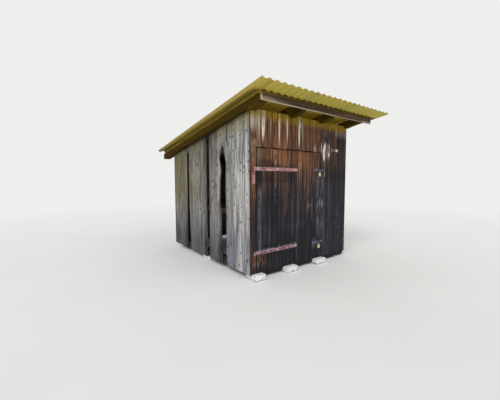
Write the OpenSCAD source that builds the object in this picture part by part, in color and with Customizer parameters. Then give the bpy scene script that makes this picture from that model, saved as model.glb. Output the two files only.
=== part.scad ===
// Small wooden outbuilding with a lean-to roof: vertical boards on a timber
// frame, one wide ledged door on strap hinges, translucent corrugated sheets.
// Millimetres. The front faces -Y, the floor is z = 0.

/* [Walls] */
// Width over the front boards
house_w = 2310; // [2100:10:2700]
// Depth over the front and back boards
house_d = 2850; // [2600:10:3300]
// Height of the front wall, from the brick pads to the rafters
front_h = 2390; // [2300:10:2600]
// Height of the back wall, from the brick pads to the rafters
back_h = 1970; // [1900:10:2150]
// Thickness of the wall boards
board_t = 25; // [18:1:30]
// How far the side boards hang below the sills
board_drop = 24; // [0:2:40]

/* [Gaps in the left boards] */
// Front edge of the middle gap, from the front of the house
mid_gap_y = 1238; // [1150:2:1300]
// Width of the middle gap
mid_gap_w = 90; // [50:2:110]
// Front edge of the back gap at the top
back_gap_y = 2088; // [1950:2:2200]
// Width of the back gap at the top
back_gap_w = 76; // [40:2:100]
// How much wider the back gap is on each side at the bottom
back_gap_flare = 37; // [0:1:50]
// Height of the small board that closes the back gap at the top
gap_cover_h = 120; // [80:5:160]
// Where the waney split in the left boards comes to its tip, from the front
split_y = 780; // [720:5:860]
// Height of the tip of the split above the brick pads
split_h = 2002; // [1900:2:2100]

/* [Door] */
// Left edge of the leaf, from the left corner
leaf_x = 107; // [104:1:125]
// Width of the leaf
leaf_w = 1430; // [1300:10:1500]
// Height of the leaf
leaf_h = 1860; // [1780:10:1940]
// Thickness of the leaf's boards
leaf_t = 22; // [18:1:24]
// How far the leaf stands proud of the wall boards
leaf_proud = 5; // [5:1:8]
// Gap between the leaf and the boards around it
leaf_gap = 6; // [5:1:9]
// Gap between the leaf and the brick pads
leaf_lift = 7; // [6:1:15]
// How far the leaf laps over the posts and the header behind it
leaf_lap = 32; // [20:1:40]
// Height of the ledges inside the leaf
ledge_h = 110; // [80:5:130]
// Thickness of the ledges and the brace
ledge_t = 25; // [20:1:32]
// Width of the brace
brace_w = 100; // [80:5:120]

/* [Strap hinges] */
// Hinge pins, from the left corner
pin_x = 55; // [50:1:60]
// Axis of the hinge pins, out from the front of the wall boards
pin_out = 20; // [20:1:23]
// Diameter of the hinge pins
pin_d = 16; // [12:1:16]
// Running clearance around a hinge pin
pin_clear = 0.3; // [0.2:0.05:0.5]
// Wall of the strap's eye
eye_wall = 3.7; // [3.4:0.1:4.5]
// Length of a strap from its pin
strap_l = 902; // [750:5:1000]
// Height of a strap
strap_h = 50; // [40:2:60]
// Thickness of a strap
strap_t = 5; // [4:0.5:6]
// Middle of the upper strap above the leaf's lower edge
upper_strap_z = 1554; // [1450:2:1640]
// Middle of the lower strap above the leaf's lower edge
lower_strap_z = 307; // [220:2:400]
// Height of the plate that holds a pin
pintle_h = 175; // [140:5:190]
// Width of the plate that holds a pin
pintle_w = 50; // [40:2:60]

/* [Hasps and padlocks] */
// Middle of the upper hasp above the leaf's lower edge
upper_hasp_z = 1560; // [1440:2:1640]
// Middle of the lower hasp above the leaf's lower edge
lower_hasp_z = 287; // [220:2:400]
// Length of the hasp's plate on the leaf
hasp_l = 190; // [150:5:240]
// Height of the hasp's plates
hasp_h = 45; // [40:1:56]
// Thickness of the hasp's plates
hasp_t = 4; // [3:0.5:5]
// Length of the keeper's plate on the wall boards
keeper_l = 78; // [60:2:100]
// Width of a padlock's body
lock_w = 50; // [44:1:54]
// Height of a padlock's body
lock_h = 62; // [50:1:70]
// Thickness of a padlock's body
lock_t = 20; // [16:1:22]
// Diameter of a padlock's shackle
shackle_d = 9; // [7:0.5:10]
// Width of a padlock's shackle, between the middles of its legs
shackle_w = 32; // [26:1:34]

/* [Timber frame] */
// Side of the square corner posts
post = 80; // [70:5:90]
// Width and height of the sills
sill = 100; // [90:5:120]
// How far the ground boards hang under the front sill
ground_board_h = 58; // [40:2:60]
// Height of the beams that carry the rafters
plate_h = 90; // [80:5:120]
// Height of the middle rails
rail_h = 80; // [60:5:100]
// Depth of the middle rails
rail_t = 50; // [40:2:60]
// Underside of the middle rails above the brick pads
rail_z = 850; // [700:10:1100]

/* [Roof] */
// Width of a rafter
rafter_w = 100; // [80:2:110]
// Width of the left rafter
left_rafter_w = 150; // [120:5:160]
// How far the left rafter stands past the left wall
left_rafter_out = 65; // [50:5:80]
// Upright depth of a rafter
rafter_h = 111; // [95:1:130]
// How much deeper a rafter is where it comes out of the front wall
nose_drop = 20; // [0:1:40]
// How far the front boards reach up between the rafters
front_rise = 30; // [0:1:60]
// Middle of the second rafter, from the left corner
rafter_2_x = 820; // [790:5:860]
// Middle of the third rafter, from the left corner
rafter_3_x = 1530; // [1490:5:1570]
// How far the rafter tails run past the back wall
tail_back = 480; // [420:10:550]
// How far the fascia's face stands in front of the front wall
fascia_out = 278; // [200:2:350]
// Height of the fascia
fascia_h = 83; // [70:1:95]
// Thickness of the fascia
fascia_t = 25; // [18:1:30]
// Height of the timbers between the rafters and the sheets
purlin_h = 34; // [25:1:70]
// Width of the cross timbers
purlin_w = 70; // [50:2:90]
// Width of the verge timbers
verge_w = 40; // [30:2:50]
// How far the left verge timber stands past the left wall
verge_left = 70; // [66:2:100]
// How far the right verge timber stands past the right wall
verge_right = 393; // [350:1:420]
// How far the sheets stand past the front wall
sheet_front = 538; // [450:2:600]
// How far the sheets stand past the back wall
sheet_back = 404; // [340:2:420]
// How far the sheets stand past the left wall
sheet_left = 230; // [170:5:260]
// How far the sheets stand past the right wall
sheet_right = 536; // [500:2:580]
// Pitch of the corrugations
wave_pitch = 130; // [125:1:145]
// How far into a wave the left edge of the sheets is cut
wave_start = 70; // [0:1:120]
// Height of the corrugations
wave_h = 22; // [16:1:32]
// Thickness of the sheets
sheet_t = 2; // [1.5:0.1:2.2]

/* [Brick pads] */
// Length of a brick
brick_l = 240; // [230:5:260]
// Height of a brick
brick_h = 88; // [60:1:100]
// Depth of a pad, two bricks side by side
pad_d = 250; // [220:5:260]
// How far the front pads stand out from the front wall
pad_out = 85; // [40:5:100]

/* [Hidden] */

// Colours
brick_white = [0.86, 0.86, 0.84];
timber_dark = [0.27, 0.20, 0.15];
timber_brown = [0.42, 0.27, 0.18];
tar_black = [0.16, 0.16, 0.19];
weathered_grey = [0.56, 0.56, 0.55];
sheet_yellow = [0.62, 0.56, 0.12];
strap_pink = [0.62, 0.34, 0.35];
hasp_grey = [0.42, 0.42, 0.42];
lock_brass = [0.70, 0.58, 0.30];

// Roof plane: the rafters' underside falls evenly from front to back
slope = (front_h - back_h) / house_d;
slope_deg = atan(slope);
function under_z(y) = brick_h + front_h - slope * y;
function over_z(y) = under_z(y) + rafter_h;

// Gap between sloping faces that lie on each other, so that they can't cut in
bed = 0.03;

// The origin is under the middle of the roof
roof_back = house_d + max(tail_back, sheet_back);
origin_x = (house_w + sheet_right - sheet_left) / 2;
origin_y = (roof_back - sheet_front) / 2;
module on_site() translate([-origin_x, -origin_y, 0]) children();

// A piece drawn as an outline in depth and height, then given a width in x
module across(x, width, outline)
    translate([x, 0, 0])
        rotate([90, 0, 90])
            linear_extrude(height = width) polygon(outline);

// A piece drawn as an outline in width and height, then given a depth in y
module deep(y, depth, outline)
    translate([0, y + depth, 0])
        rotate([90, 0, 0])
            linear_extrude(height = depth) polygon(outline);

module block(x, y, z, w, d, h) translate([x, y, z]) cube([w, d, h]);

// Brick pads under the sills
cut_brick = brick_l * 0.78;
front_pad_places = [
    [35, cut_brick, -pad_out],
    [house_w / 2 - 488, brick_l, -pad_out],
    [house_w / 2 + 233, brick_l, -pad_out],
    [house_w - board_t - brick_l, brick_l, 2 * board_t]
];
module front_pads() color(brick_white)
    for (p = front_pad_places) block(p[0], p[2], 0, p[1], pad_d, brick_h);

back_pad_gap = (house_w - 2 * board_t - 4 * brick_l) / 3;
module rear_pads() color(brick_white) {
    for (i = [0 : 3])
        block(board_t + i * (brick_l + back_pad_gap), house_d - board_t - pad_d, 0,
              brick_l, pad_d, brick_h);
    for (x = [board_t, house_w - board_t - pad_d])
        block(x, house_d / 2 - brick_l / 2, 0, pad_d, brick_l, brick_h);
}

// Sills, and ground boards under the front one between the pads, past the last pad's face
sill_l = house_w - 2 * board_t;
module front_sill() color(timber_dark) {
    block(board_t, board_t, brick_h, sill_l, sill, sill);
    for (i = [0 : 2]) {
        from = front_pad_places[i][0] + front_pad_places[i][1];
        to = i < 2 ? front_pad_places[i + 1][0] : board_t + sill_l;
        block(from, board_t, brick_h - ground_board_h, to - from, board_t, ground_board_h);
    }
}
module back_sill() color(timber_dark)
    block(board_t, house_d - board_t - sill, brick_h, sill_l, sill, sill);
module side_sills() color(timber_dark)
    for (x = [board_t, house_w - board_t - sill])
        block(x, board_t + sill, brick_h, sill, house_d - 2 * (board_t + sill), sill);

// Posts
post_z = brick_h + sill;
front_plate_z = under_z(board_t + post) - plate_h;
back_plate_z = under_z(house_d - board_t) - plate_h;
left_post_x = board_t;
right_post_x = house_w - board_t - post;
back_post_y = house_d - board_t - post;
module corner_posts() color(timber_dark)
    for (x = [left_post_x, right_post_x]) {
        block(x, board_t, post_z, post, post, front_plate_z - post_z);
        block(x, back_post_y, post_z, post, post, back_plate_z - post_z);
    }

// Doorway: the leaf laps over the posts beside it and the header above it
leaf_right = leaf_x + leaf_w;
leaf_z = brick_h + leaf_lift;
leaf_top = leaf_z + leaf_h;
doorway_left = leaf_x + leaf_lap;
doorway_right = leaf_right - leaf_lap;
module door_posts() color(timber_dark) {
    block(left_post_x + post, board_t, post_z,
          doorway_left - left_post_x - post, post, front_plate_z - post_z);
    block(doorway_right, board_t, post_z, post, post, front_plate_z - post_z);
}
module door_header() color(timber_dark)
    block(doorway_left, board_t, leaf_top - leaf_lap,
          doorway_right - doorway_left, post, post + leaf_lap);

// Middle rails
rail_bottom = brick_h + rail_z;
side_rail_l = back_post_y - board_t - post;
module front_rail() color(timber_dark)
    block(doorway_right + post, board_t, rail_bottom,
          right_post_x - doorway_right - post, rail_t, rail_h);
module side_rails() color(timber_dark)
    for (x = [board_t, house_w - board_t - rail_t])
        block(x, board_t + post, rail_bottom, rail_t, side_rail_l, rail_h);
module back_rail() color(timber_dark)
    block(left_post_x + post, house_d - board_t - rail_t, rail_bottom,
          right_post_x - left_post_x - post, rail_t, rail_h);

// Beams under the rafters, with their tops cut to the slope of the roof
module plate_across(y_front, y_back, z) color(timber_dark)
    across(board_t, sill_l,
           [[y_front, z], [y_back, z], [y_back, under_z(y_back)], [y_front, under_z(y_front)]]);
module front_plate() plate_across(board_t, board_t + post, front_plate_z);
module back_plate() plate_across(back_post_y, back_post_y + post, back_plate_z);
module side_plates() color(timber_dark)
    for (x = [board_t, house_w - board_t - post])
        across(x, post, [
            [board_t + post, under_z(board_t + post) - plate_h],
            [back_post_y, under_z(back_post_y) - plate_h],
            [back_post_y, under_z(back_post_y)],
            [board_t + post, under_z(board_t + post)]
        ]);

// Rafters from behind the fascia to the tails past the back wall
rafter_front = fascia_t - fascia_out;
rafter_tail = house_d + tail_back;
// Gap between a rafter and the front boards beside and behind it
rafter_gap = 3;
module rafter(x_left, width) color(timber_dark)
    across(x_left, width, [
        [rafter_front, under_z(rafter_front) + bed],
        [-rafter_gap, under_z(0) - nose_drop],
        [-rafter_gap, under_z(-rafter_gap) + bed],
        [rafter_tail, under_z(rafter_tail) + bed],
        [rafter_tail, over_z(rafter_tail)],
        [rafter_front, over_z(rafter_front)]
    ]);
rafter_lefts = [
    -left_rafter_out,
    rafter_2_x - rafter_w / 2,
    rafter_3_x - rafter_w / 2,
    house_w + board_t - rafter_w
];
module left_rafter() rafter(rafter_lefts[0], left_rafter_w);
module inner_left_rafter() rafter(rafter_lefts[1], rafter_w);
module inner_right_rafter() rafter(rafter_lefts[2], rafter_w);
module right_rafter() rafter(rafter_lefts[3], rafter_w);

// Timbers on the rafters: four across, and one along each verge at their ends
purlin_left = verge_w - verge_left;
purlin_right = house_w + verge_right - verge_w;
purlin_first = -fascia_out;
purlin_edge = 14;
purlin_last = house_d + sheet_back - purlin_edge - purlin_w;
module on_rafters(x_left, width, y_front, y_back) color(timber_dark)
    across(x_left, width, [
        [y_front, over_z(y_front) + bed],
        [y_back, over_z(y_back) + bed],
        [y_back, over_z(y_back) + purlin_h],
        [y_front, over_z(y_front) + purlin_h]
    ]);
module purlins()
    for (i = [0 : 3]) {
        y = purlin_first + i * (purlin_last - purlin_first) / 3;
        on_rafters(purlin_left, purlin_right - purlin_left, y, y + purlin_w);
    }
module verge_timbers()
    for (x = [purlin_left - verge_w, purlin_right])
        on_rafters(x, verge_w, purlin_first, purlin_last + purlin_w);

// Fascia across the rafter ends, as long as the cross timber above it
module front_fascia() color(weathered_grey)
    block(purlin_left, -fascia_out, over_z(rafter_front) - fascia_h,
          purlin_right - purlin_left, fascia_t, fascia_h);

// Corrugated sheets: one wave of lap, and the middle sheet lies on the others
wave_steps = 12;
wave_step = wave_pitch / wave_steps;
sheet_w = (house_w + sheet_left + sheet_right + 2 * wave_pitch) / 3;
sheet_l = (house_d + sheet_front + sheet_back) / cos(slope_deg);
// Upright thickness, and the middle sheet's lift over its neighbours
sheet_rise = sheet_t * 1.15;
lap_lift = sheet_rise + 0.2;
function wave_z(x) = wave_h * (1 - cos(360 * x / wave_pitch)) / 2;
// Facets begin at half steps, so that the bottom and the top of each wave are flat
function stop_z(i) = wave_z((i + 0.5) * wave_step) - wave_z(wave_step / 2);
function facet_z(x) = let (
    stops = x / wave_step - 0.5,
    i = floor(stops)
) stop_z(i) + (stops - i) * (stop_z(i + 1) - stop_z(i));
function wave_stops(from, to) = concat(
    [from],
    [for (i = [ceil(from / wave_step - 0.5 + 0.01) : floor(to / wave_step - 0.5 - 0.01)])
        (i + 0.5) * wave_step],
    [to]
);
function wave_outline(from, to) = let (
    stops = wave_stops(from, to),
    under = [for (x = stops) [x - wave_start, facet_z(x)]],
    over = [for (i = [len(stops) - 1 : -1 : 0])
        [stops[i] - wave_start, facet_z(stops[i]) + sheet_rise]]
) concat(under, over);
module roof_sheet(index, lift) color(sheet_yellow, 0.8)
    translate([-sheet_left, -sheet_front, over_z(-sheet_front) + purlin_h + bed])
        rotate([-slope_deg, 0, 0])
            translate([0, sheet_l, lift])
                rotate([90, 0, 0])
                    linear_extrude(height = sheet_l) {
                        left = wave_start + index * (sheet_w - wave_pitch);
                        polygon(wave_outline(left, left + sheet_w));
                    }
module roof_sheet_left() roof_sheet(0, 0);
module roof_sheet_middle() roof_sheet(1, lap_lift);
module roof_sheet_right() roof_sheet(2, 0);

// Side boards, between the front and the back boards
side_bottom = brick_h - board_drop;
side_front = board_t;
side_back = house_d - board_t;
mid_gap_back = mid_gap_y + mid_gap_w;
back_gap_back = back_gap_y + back_gap_w;
flare_top = brick_h + front_h / 2;
split_top = brick_h + split_h;

// The two waney edges of the split, from the bottom to the tip:
// distance in front of or behind the tip, share of the split's height
split_front_edge = [[-126, 0], [-108, 0.45], [-100, 0.65], [-118, 0.83], [-46, 0.95]];
split_back_edge = [[13, 0], [53, 0.30], [38, 0.43], [75, 0.50], [65, 0.70],
                   [35, 0.78], [88, 0.88], [30, 0.94]];
function split_point(p) = [split_y + p[0], side_bottom + p[1] * (split_top - side_bottom)];

module left_boards(outline) color(weathered_grey) across(0, board_t, outline);
module left_front_boards() left_boards(concat(
    [[side_front, side_bottom]],
    [for (p = split_front_edge) split_point(p)],
    [[split_y, split_top], [split_y, under_z(split_y)], [side_front, under_z(side_front)]]
));
module left_narrow_boards() left_boards(concat(
    [[mid_gap_y, under_z(mid_gap_y)], [split_y, under_z(split_y)], [split_y, split_top]],
    [for (i = [len(split_back_edge) - 1 : -1 : 0]) split_point(split_back_edge[i])],
    [[mid_gap_y, side_bottom]]
));
module left_middle_boards() left_boards([
    [mid_gap_back, side_bottom],
    [back_gap_y - back_gap_flare, side_bottom],
    [back_gap_y, flare_top],
    [back_gap_y, under_z(back_gap_y)],
    [mid_gap_back, under_z(mid_gap_back)]
]);
module left_back_boards() left_boards([
    [back_gap_back + back_gap_flare, side_bottom],
    [side_back, side_bottom],
    [side_back, under_z(side_back)],
    [back_gap_y, under_z(back_gap_y)],
    [back_gap_y, under_z(back_gap_y) - gap_cover_h],
    [back_gap_back, under_z(back_gap_back) - gap_cover_h],
    [back_gap_back, flare_top]
]);
module right_boards() color(weathered_grey)
    across(house_w - board_t, board_t, [
        [side_front, side_bottom],
        [side_back, side_bottom],
        [side_back, under_z(side_back)],
        [side_front, under_z(side_front)]
    ]);

// Back boards in three runs
back_run_gap = 12;
back_run = (house_w - 2 * back_run_gap) / 3;
module back_boards() color(weathered_grey)
    for (i = [0 : 2])
        block(i * (back_run + back_run_gap), house_d - board_t, side_bottom,
              back_run, board_t, under_z(house_d) - side_bottom);

// Front boards, which stand on the pads, end at the rafters and reach up between them
front_top = under_z(board_t);
module front_boards(x_from, x_to, z_from) color(timber_brown) {
    block(x_from, 0, z_from, x_to - x_from, board_t, front_top - z_from);
    for (i = [0 : 2]) {
        bay_left = max(x_from, rafter_lefts[i] + (i == 0 ? left_rafter_w : rafter_w) + rafter_gap);
        bay_right = min(x_to, rafter_lefts[i + 1] - rafter_gap);
        if (bay_right > bay_left)
            block(bay_left, 0, z_from, bay_right - bay_left, board_t,
                  front_top + front_rise - z_from);
    }
}
module front_strip() front_boards(0, leaf_x - leaf_gap, brick_h);
module over_door_boards() front_boards(leaf_x - leaf_gap, leaf_right + leaf_gap, leaf_top + leaf_gap);
module front_right_boards() front_boards(leaf_right + leaf_gap, house_w, brick_h);

// Door leaf with its ledges and brace inside
leaf_face = -leaf_proud;
leaf_inner = leaf_face + leaf_t;
ledge_end_gap = 30;
ledge_left = doorway_left + ledge_end_gap;
ledge_right = doorway_right - ledge_end_gap;
upper_ledge_z = leaf_z + upper_strap_z;
lower_ledge_z = leaf_z + lower_strap_z;
module door_leaf() color(tar_black) block(leaf_x, leaf_face, leaf_z, leaf_w, leaf_t, leaf_h);
module door_ledges() color(timber_brown)
    for (z = [lower_ledge_z, upper_ledge_z])
        block(ledge_left, leaf_inner, z - ledge_h / 2, ledge_right - ledge_left, ledge_t, ledge_h);
brace_inset = 60;
brace_run = brace_w * 1.4;
module door_brace() color(timber_brown)
    deep(leaf_inner, ledge_t, [
        [ledge_left + brace_inset, lower_ledge_z + ledge_h / 2],
        [ledge_left + brace_inset + brace_run, lower_ledge_z + ledge_h / 2],
        [ledge_right - brace_inset, upper_ledge_z - ledge_h / 2],
        [ledge_right - brace_inset - brace_run, upper_ledge_z - ledge_h / 2]
    ]);

// Strap hinges: the eye turns on a pin that stands on a plate below it
eye_r = pin_d / 2 + pin_clear + eye_wall;
module strap(z) color(strap_pink)
    translate([pin_x, 0, z - strap_h / 2])
        difference() {
            union() {
                translate([0, -pin_out, 0]) cylinder(r = eye_r, h = strap_h, $fn = 64);
                translate([0, leaf_face - strap_t, 0]) cube([strap_l, strap_t, strap_h]);
            }
            translate([0, -pin_out, -1])
                cylinder(r = pin_d / 2 + pin_clear, h = strap_h + 2, $fn = 64);
        }
module upper_strap() strap(upper_ledge_z);
module lower_strap() strap(lower_ledge_z);

seat_gap = 0.5;
pintle_gap = 22;
pintle_t = 5;
knuckle_h = 46;
pin_over = 8;
module pintle(z) {
    seat_z = z - strap_h / 2 - seat_gap;
    plate_top = seat_z - pintle_gap;
    color(strap_pink) {
        block(pin_x - pintle_w / 2, -pintle_t, plate_top - pintle_h, pintle_w, pintle_t, pintle_h);
        block(pin_x - pin_d / 2, -pin_out, seat_z - knuckle_h,
              pin_d, pin_out - pintle_t, knuckle_h - pintle_gap);
        translate([pin_x, -pin_out, seat_z - knuckle_h]) cylinder(r = eye_r, h = knuckle_h, $fn = 64);
        translate([pin_x, -pin_out, seat_z])
            cylinder(r = pin_d / 2, h = seat_gap + strap_h + pin_over, $fn = 64);
    }
}
module upper_pintle() pintle(upper_ledge_z);
module lower_pintle() pintle(lower_ledge_z);

// Hasp on the leaf with a staple, and a padlock that hangs in the staple
hasp_face = leaf_face - hasp_t;
staple_bar = 6;
staple_h = 26;
staple_out = 22;
hasp_end_gap = 7;
hasp_right = leaf_right - hasp_end_gap;
lock_x = hasp_right - lock_w / 2 + 4;
module hasp(z) color(hasp_grey) {
    block(hasp_right - hasp_l, hasp_face, z - hasp_h / 2, hasp_l, hasp_t, hasp_h);
    for (dz = [-staple_h / 2, staple_h / 2 - staple_bar])
        block(lock_x - staple_bar / 2, hasp_face - staple_out, z + dz,
              staple_bar, staple_out, staple_bar);
    block(lock_x - staple_bar / 2, hasp_face - staple_out, z - staple_h / 2,
          staple_bar, staple_bar, staple_h);
}
module upper_hasp() hasp(leaf_z + upper_hasp_z);
module lower_hasp() hasp(leaf_z + lower_hasp_z);

keeper_x = leaf_right + leaf_gap + 5;
keeper_ear = 8;
module hasp_keepers() color(hasp_grey)
    for (z = [leaf_z + lower_hasp_z, leaf_z + upper_hasp_z]) {
        block(keeper_x, -hasp_t, z - hasp_h / 2, keeper_l, hasp_t, hasp_h);
        block(keeper_x, -hasp_t - staple_out, z - hasp_h / 4, keeper_ear, staple_out, hasp_h / 2);
    }

shackle_rest = 0.8;
shackle_y = hasp_face - (staple_out - staple_bar) / 2;
lock_drop = 78;
module padlock(z) {
    arc_r = shackle_w / 2;
    inner_r = arc_r - shackle_d / 2;
    arc_z = z - staple_h / 2 + staple_bar + shackle_rest - inner_r;
    body_top = z - lock_drop + lock_h / 2;
    color(hasp_grey) translate([lock_x, shackle_y, 0]) {
        translate([0, 0, arc_z]) rotate([90, 0, 0])
            rotate_extrude(angle = 180, $fn = 64)
                translate([arc_r, 0]) circle(d = shackle_d, $fn = 32);
        for (x = [-arc_r, arc_r])
            translate([x, 0, body_top - 1]) cylinder(d = shackle_d, h = arc_z - body_top + 1, $fn = 32);
    }
    color(lock_brass)
        translate([lock_x - lock_w / 2, shackle_y - lock_t / 2, body_top - lock_h])
            cube([lock_w, lock_t, lock_h]);
}
module upper_padlock() padlock(leaf_z + upper_hasp_z);
module lower_padlock() padlock(leaf_z + lower_hasp_z);

on_site() front_pads();
on_site() rear_pads();
on_site() front_sill();
on_site() back_sill();
on_site() side_sills();
on_site() corner_posts();
on_site() door_posts();
on_site() door_header();
on_site() front_rail();
on_site() side_rails();
on_site() back_rail();
on_site() front_plate();
on_site() back_plate();
on_site() side_plates();
on_site() left_rafter();
on_site() inner_left_rafter();
on_site() inner_right_rafter();
on_site() right_rafter();
on_site() front_fascia();
on_site() purlins();
on_site() verge_timbers();
on_site() roof_sheet_left();
on_site() roof_sheet_middle();
on_site() roof_sheet_right();
on_site() left_front_boards();
on_site() left_narrow_boards();
on_site() left_middle_boards();
on_site() left_back_boards();
on_site() right_boards();
on_site() back_boards();
on_site() front_strip();
on_site() over_door_boards();
on_site() front_right_boards();
on_site() door_leaf();
on_site() door_ledges();
on_site() door_brace();
on_site() upper_strap();
on_site() lower_strap();
on_site() upper_pintle();
on_site() lower_pintle();
on_site() upper_hasp();
on_site() lower_hasp();
on_site() hasp_keepers();
on_site() upper_padlock();
on_site() lower_padlock();
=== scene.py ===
"""Wooden outhouse: looks and camera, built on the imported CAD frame.

House places are in millimetres from the front left corner (x to the right, y to the
back, z up from the ground), and at() turns them into the frame's metres.
"""
import math
import random
from functools import partial, partialmethod
from itertools import pairwise, product

import bpy
from mathutils import Matrix, Vector, noise


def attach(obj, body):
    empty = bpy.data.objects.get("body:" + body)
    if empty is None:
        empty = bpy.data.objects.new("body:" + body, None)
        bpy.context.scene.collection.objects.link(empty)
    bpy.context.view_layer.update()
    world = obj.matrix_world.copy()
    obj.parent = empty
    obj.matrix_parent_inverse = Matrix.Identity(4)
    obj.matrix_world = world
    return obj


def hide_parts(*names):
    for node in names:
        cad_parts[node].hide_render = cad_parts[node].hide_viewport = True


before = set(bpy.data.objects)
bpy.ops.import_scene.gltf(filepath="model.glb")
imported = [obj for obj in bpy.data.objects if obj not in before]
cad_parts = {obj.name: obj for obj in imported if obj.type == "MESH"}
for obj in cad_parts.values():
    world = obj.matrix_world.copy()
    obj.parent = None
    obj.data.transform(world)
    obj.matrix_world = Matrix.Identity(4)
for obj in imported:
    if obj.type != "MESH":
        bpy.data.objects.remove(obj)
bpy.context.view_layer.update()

# ---- house sizes, mm
ORIGIN_X, ORIGIN_Y = 1308.0, 1396.0
WIDE, DEEP, BOARD = 2310.0, 2850.0, 25.0
BRICK_H, FRONT_H, BACK_H = 88.0, 2390.0, 1970.0
BRICK_L, PAD_D, PAD_Y = 240.0, 250.0, -85.0
FALL = (FRONT_H - BACK_H) / DEEP
SIDE_LOW = BRICK_H - 24.0
# Gaps of the left wall: front and back edge of each, and how much the back one flares
MID_GAP, BACK_GAP, FLARE = (1238, 1328), (2088, 2164), 37.0
# Door leaf, its hinge pins, and the heights of its straps' and hasps' middles
LEAF_X0, LEAF_X1, LEAF_Z0, LEAF_Z1 = 107.0, 1537.0, 95.0, 1955.0
LEAF_FACE, LEAF_T, LEAF_GAP = -5.0, 22.0, 6.0
PIN_X, PIN_Y = 55.0, -20.0
STRAP_END, STRAP_HALF = 957.0, 25.0
UPPER_STRAP, LOWER_STRAP = 1649.0, 402.0
UPPER_HASP, LOWER_HASP = 1655.0, 382.0
# Roof timbers; BED is the gap between sloping faces that lie on each other
RAFTERS = (("left_rafter", -65, 85), ("inner_left_rafter", 770, 870),
           ("inner_right_rafter", 1480, 1580), ("right_rafter", 2235, 2335))
RAFTER_Y0, RAFTER_Y1 = -253.0, DEEP + 480
RAFTER_H, RAFTER_GAP, NOSE_DROP, BED = 111.0, 3.0, 20.0, 0.03
FRONT_RISE = 30.0
FASCIA_Y, FASCIA_H, FASCIA_T = -278.0, 83.0, 25.0
ROOF_X0, ROOF_X1 = -30.0, 2663.0
PURLIN_H, PURLIN_W, VERGE_W = 34.0, 70.0, 40.0
# Corrugated sheets: pitch, height and start of the waves, upright thickness, outline
PITCH, WAVE, START, THICK = 130.0, 22.0, 70.0, 2.28
SHEET_X0, SHEET_X1, SHEET_Y0, SHEET_Y1 = -230.0, WIDE + 536.0, -538.0, DEEP + 404.0


def under(y):
    """Height of the rafters' underside at a depth."""
    return BRICK_H + FRONT_H - FALL * y


def over(y):
    return under(y) + RAFTER_H


def at(x, y, z):
    return ((x - ORIGIN_X) / 1000, (y - ORIGIN_Y) / 1000, z / 1000)


def smooth(a, b, v):
    """0 at a, 1 at b, with a soft start and end."""
    t = min(1.0, max(0.0, (v - a) / (b - a)))
    return t * t * (3 - 2 * t)


def lump(x, y, z):
    """Smooth noise at a point."""
    return noise.noise(Vector((x, y, z)))


def wob(seed, v, reach):
    """Smooth noise along a line, -1 to 1, with features about reach long."""
    return lump(v / reach, seed * 7.31, 3.7) * 1.6


def line(edge):
    """An edge as a function; a number is a straight edge."""
    return edge if callable(edge) else lambda v: edge


def uneven(edge, by, seed, share=0.8, reach=260):
    """An edge that lies about by mm off another."""
    return lambda v: line(edge)(v) + by * (1 + share * wob(seed, v, reach))


# ---- material nodes
def place(name, data):
    """A new object of the scene."""
    o = bpy.data.objects.new(name, data)
    bpy.context.scene.collection.objects.link(o)
    return o


def rgb(r, g, b):
    """An sRGB colour, 0 to 255, as linear RGBA."""
    def one(c):
        c /= 255
        return c / 12.92 if c < 0.04045 else ((c + 0.055) / 1.055) ** 2.4
    return (one(r), one(g), one(b), 1.0)


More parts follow.
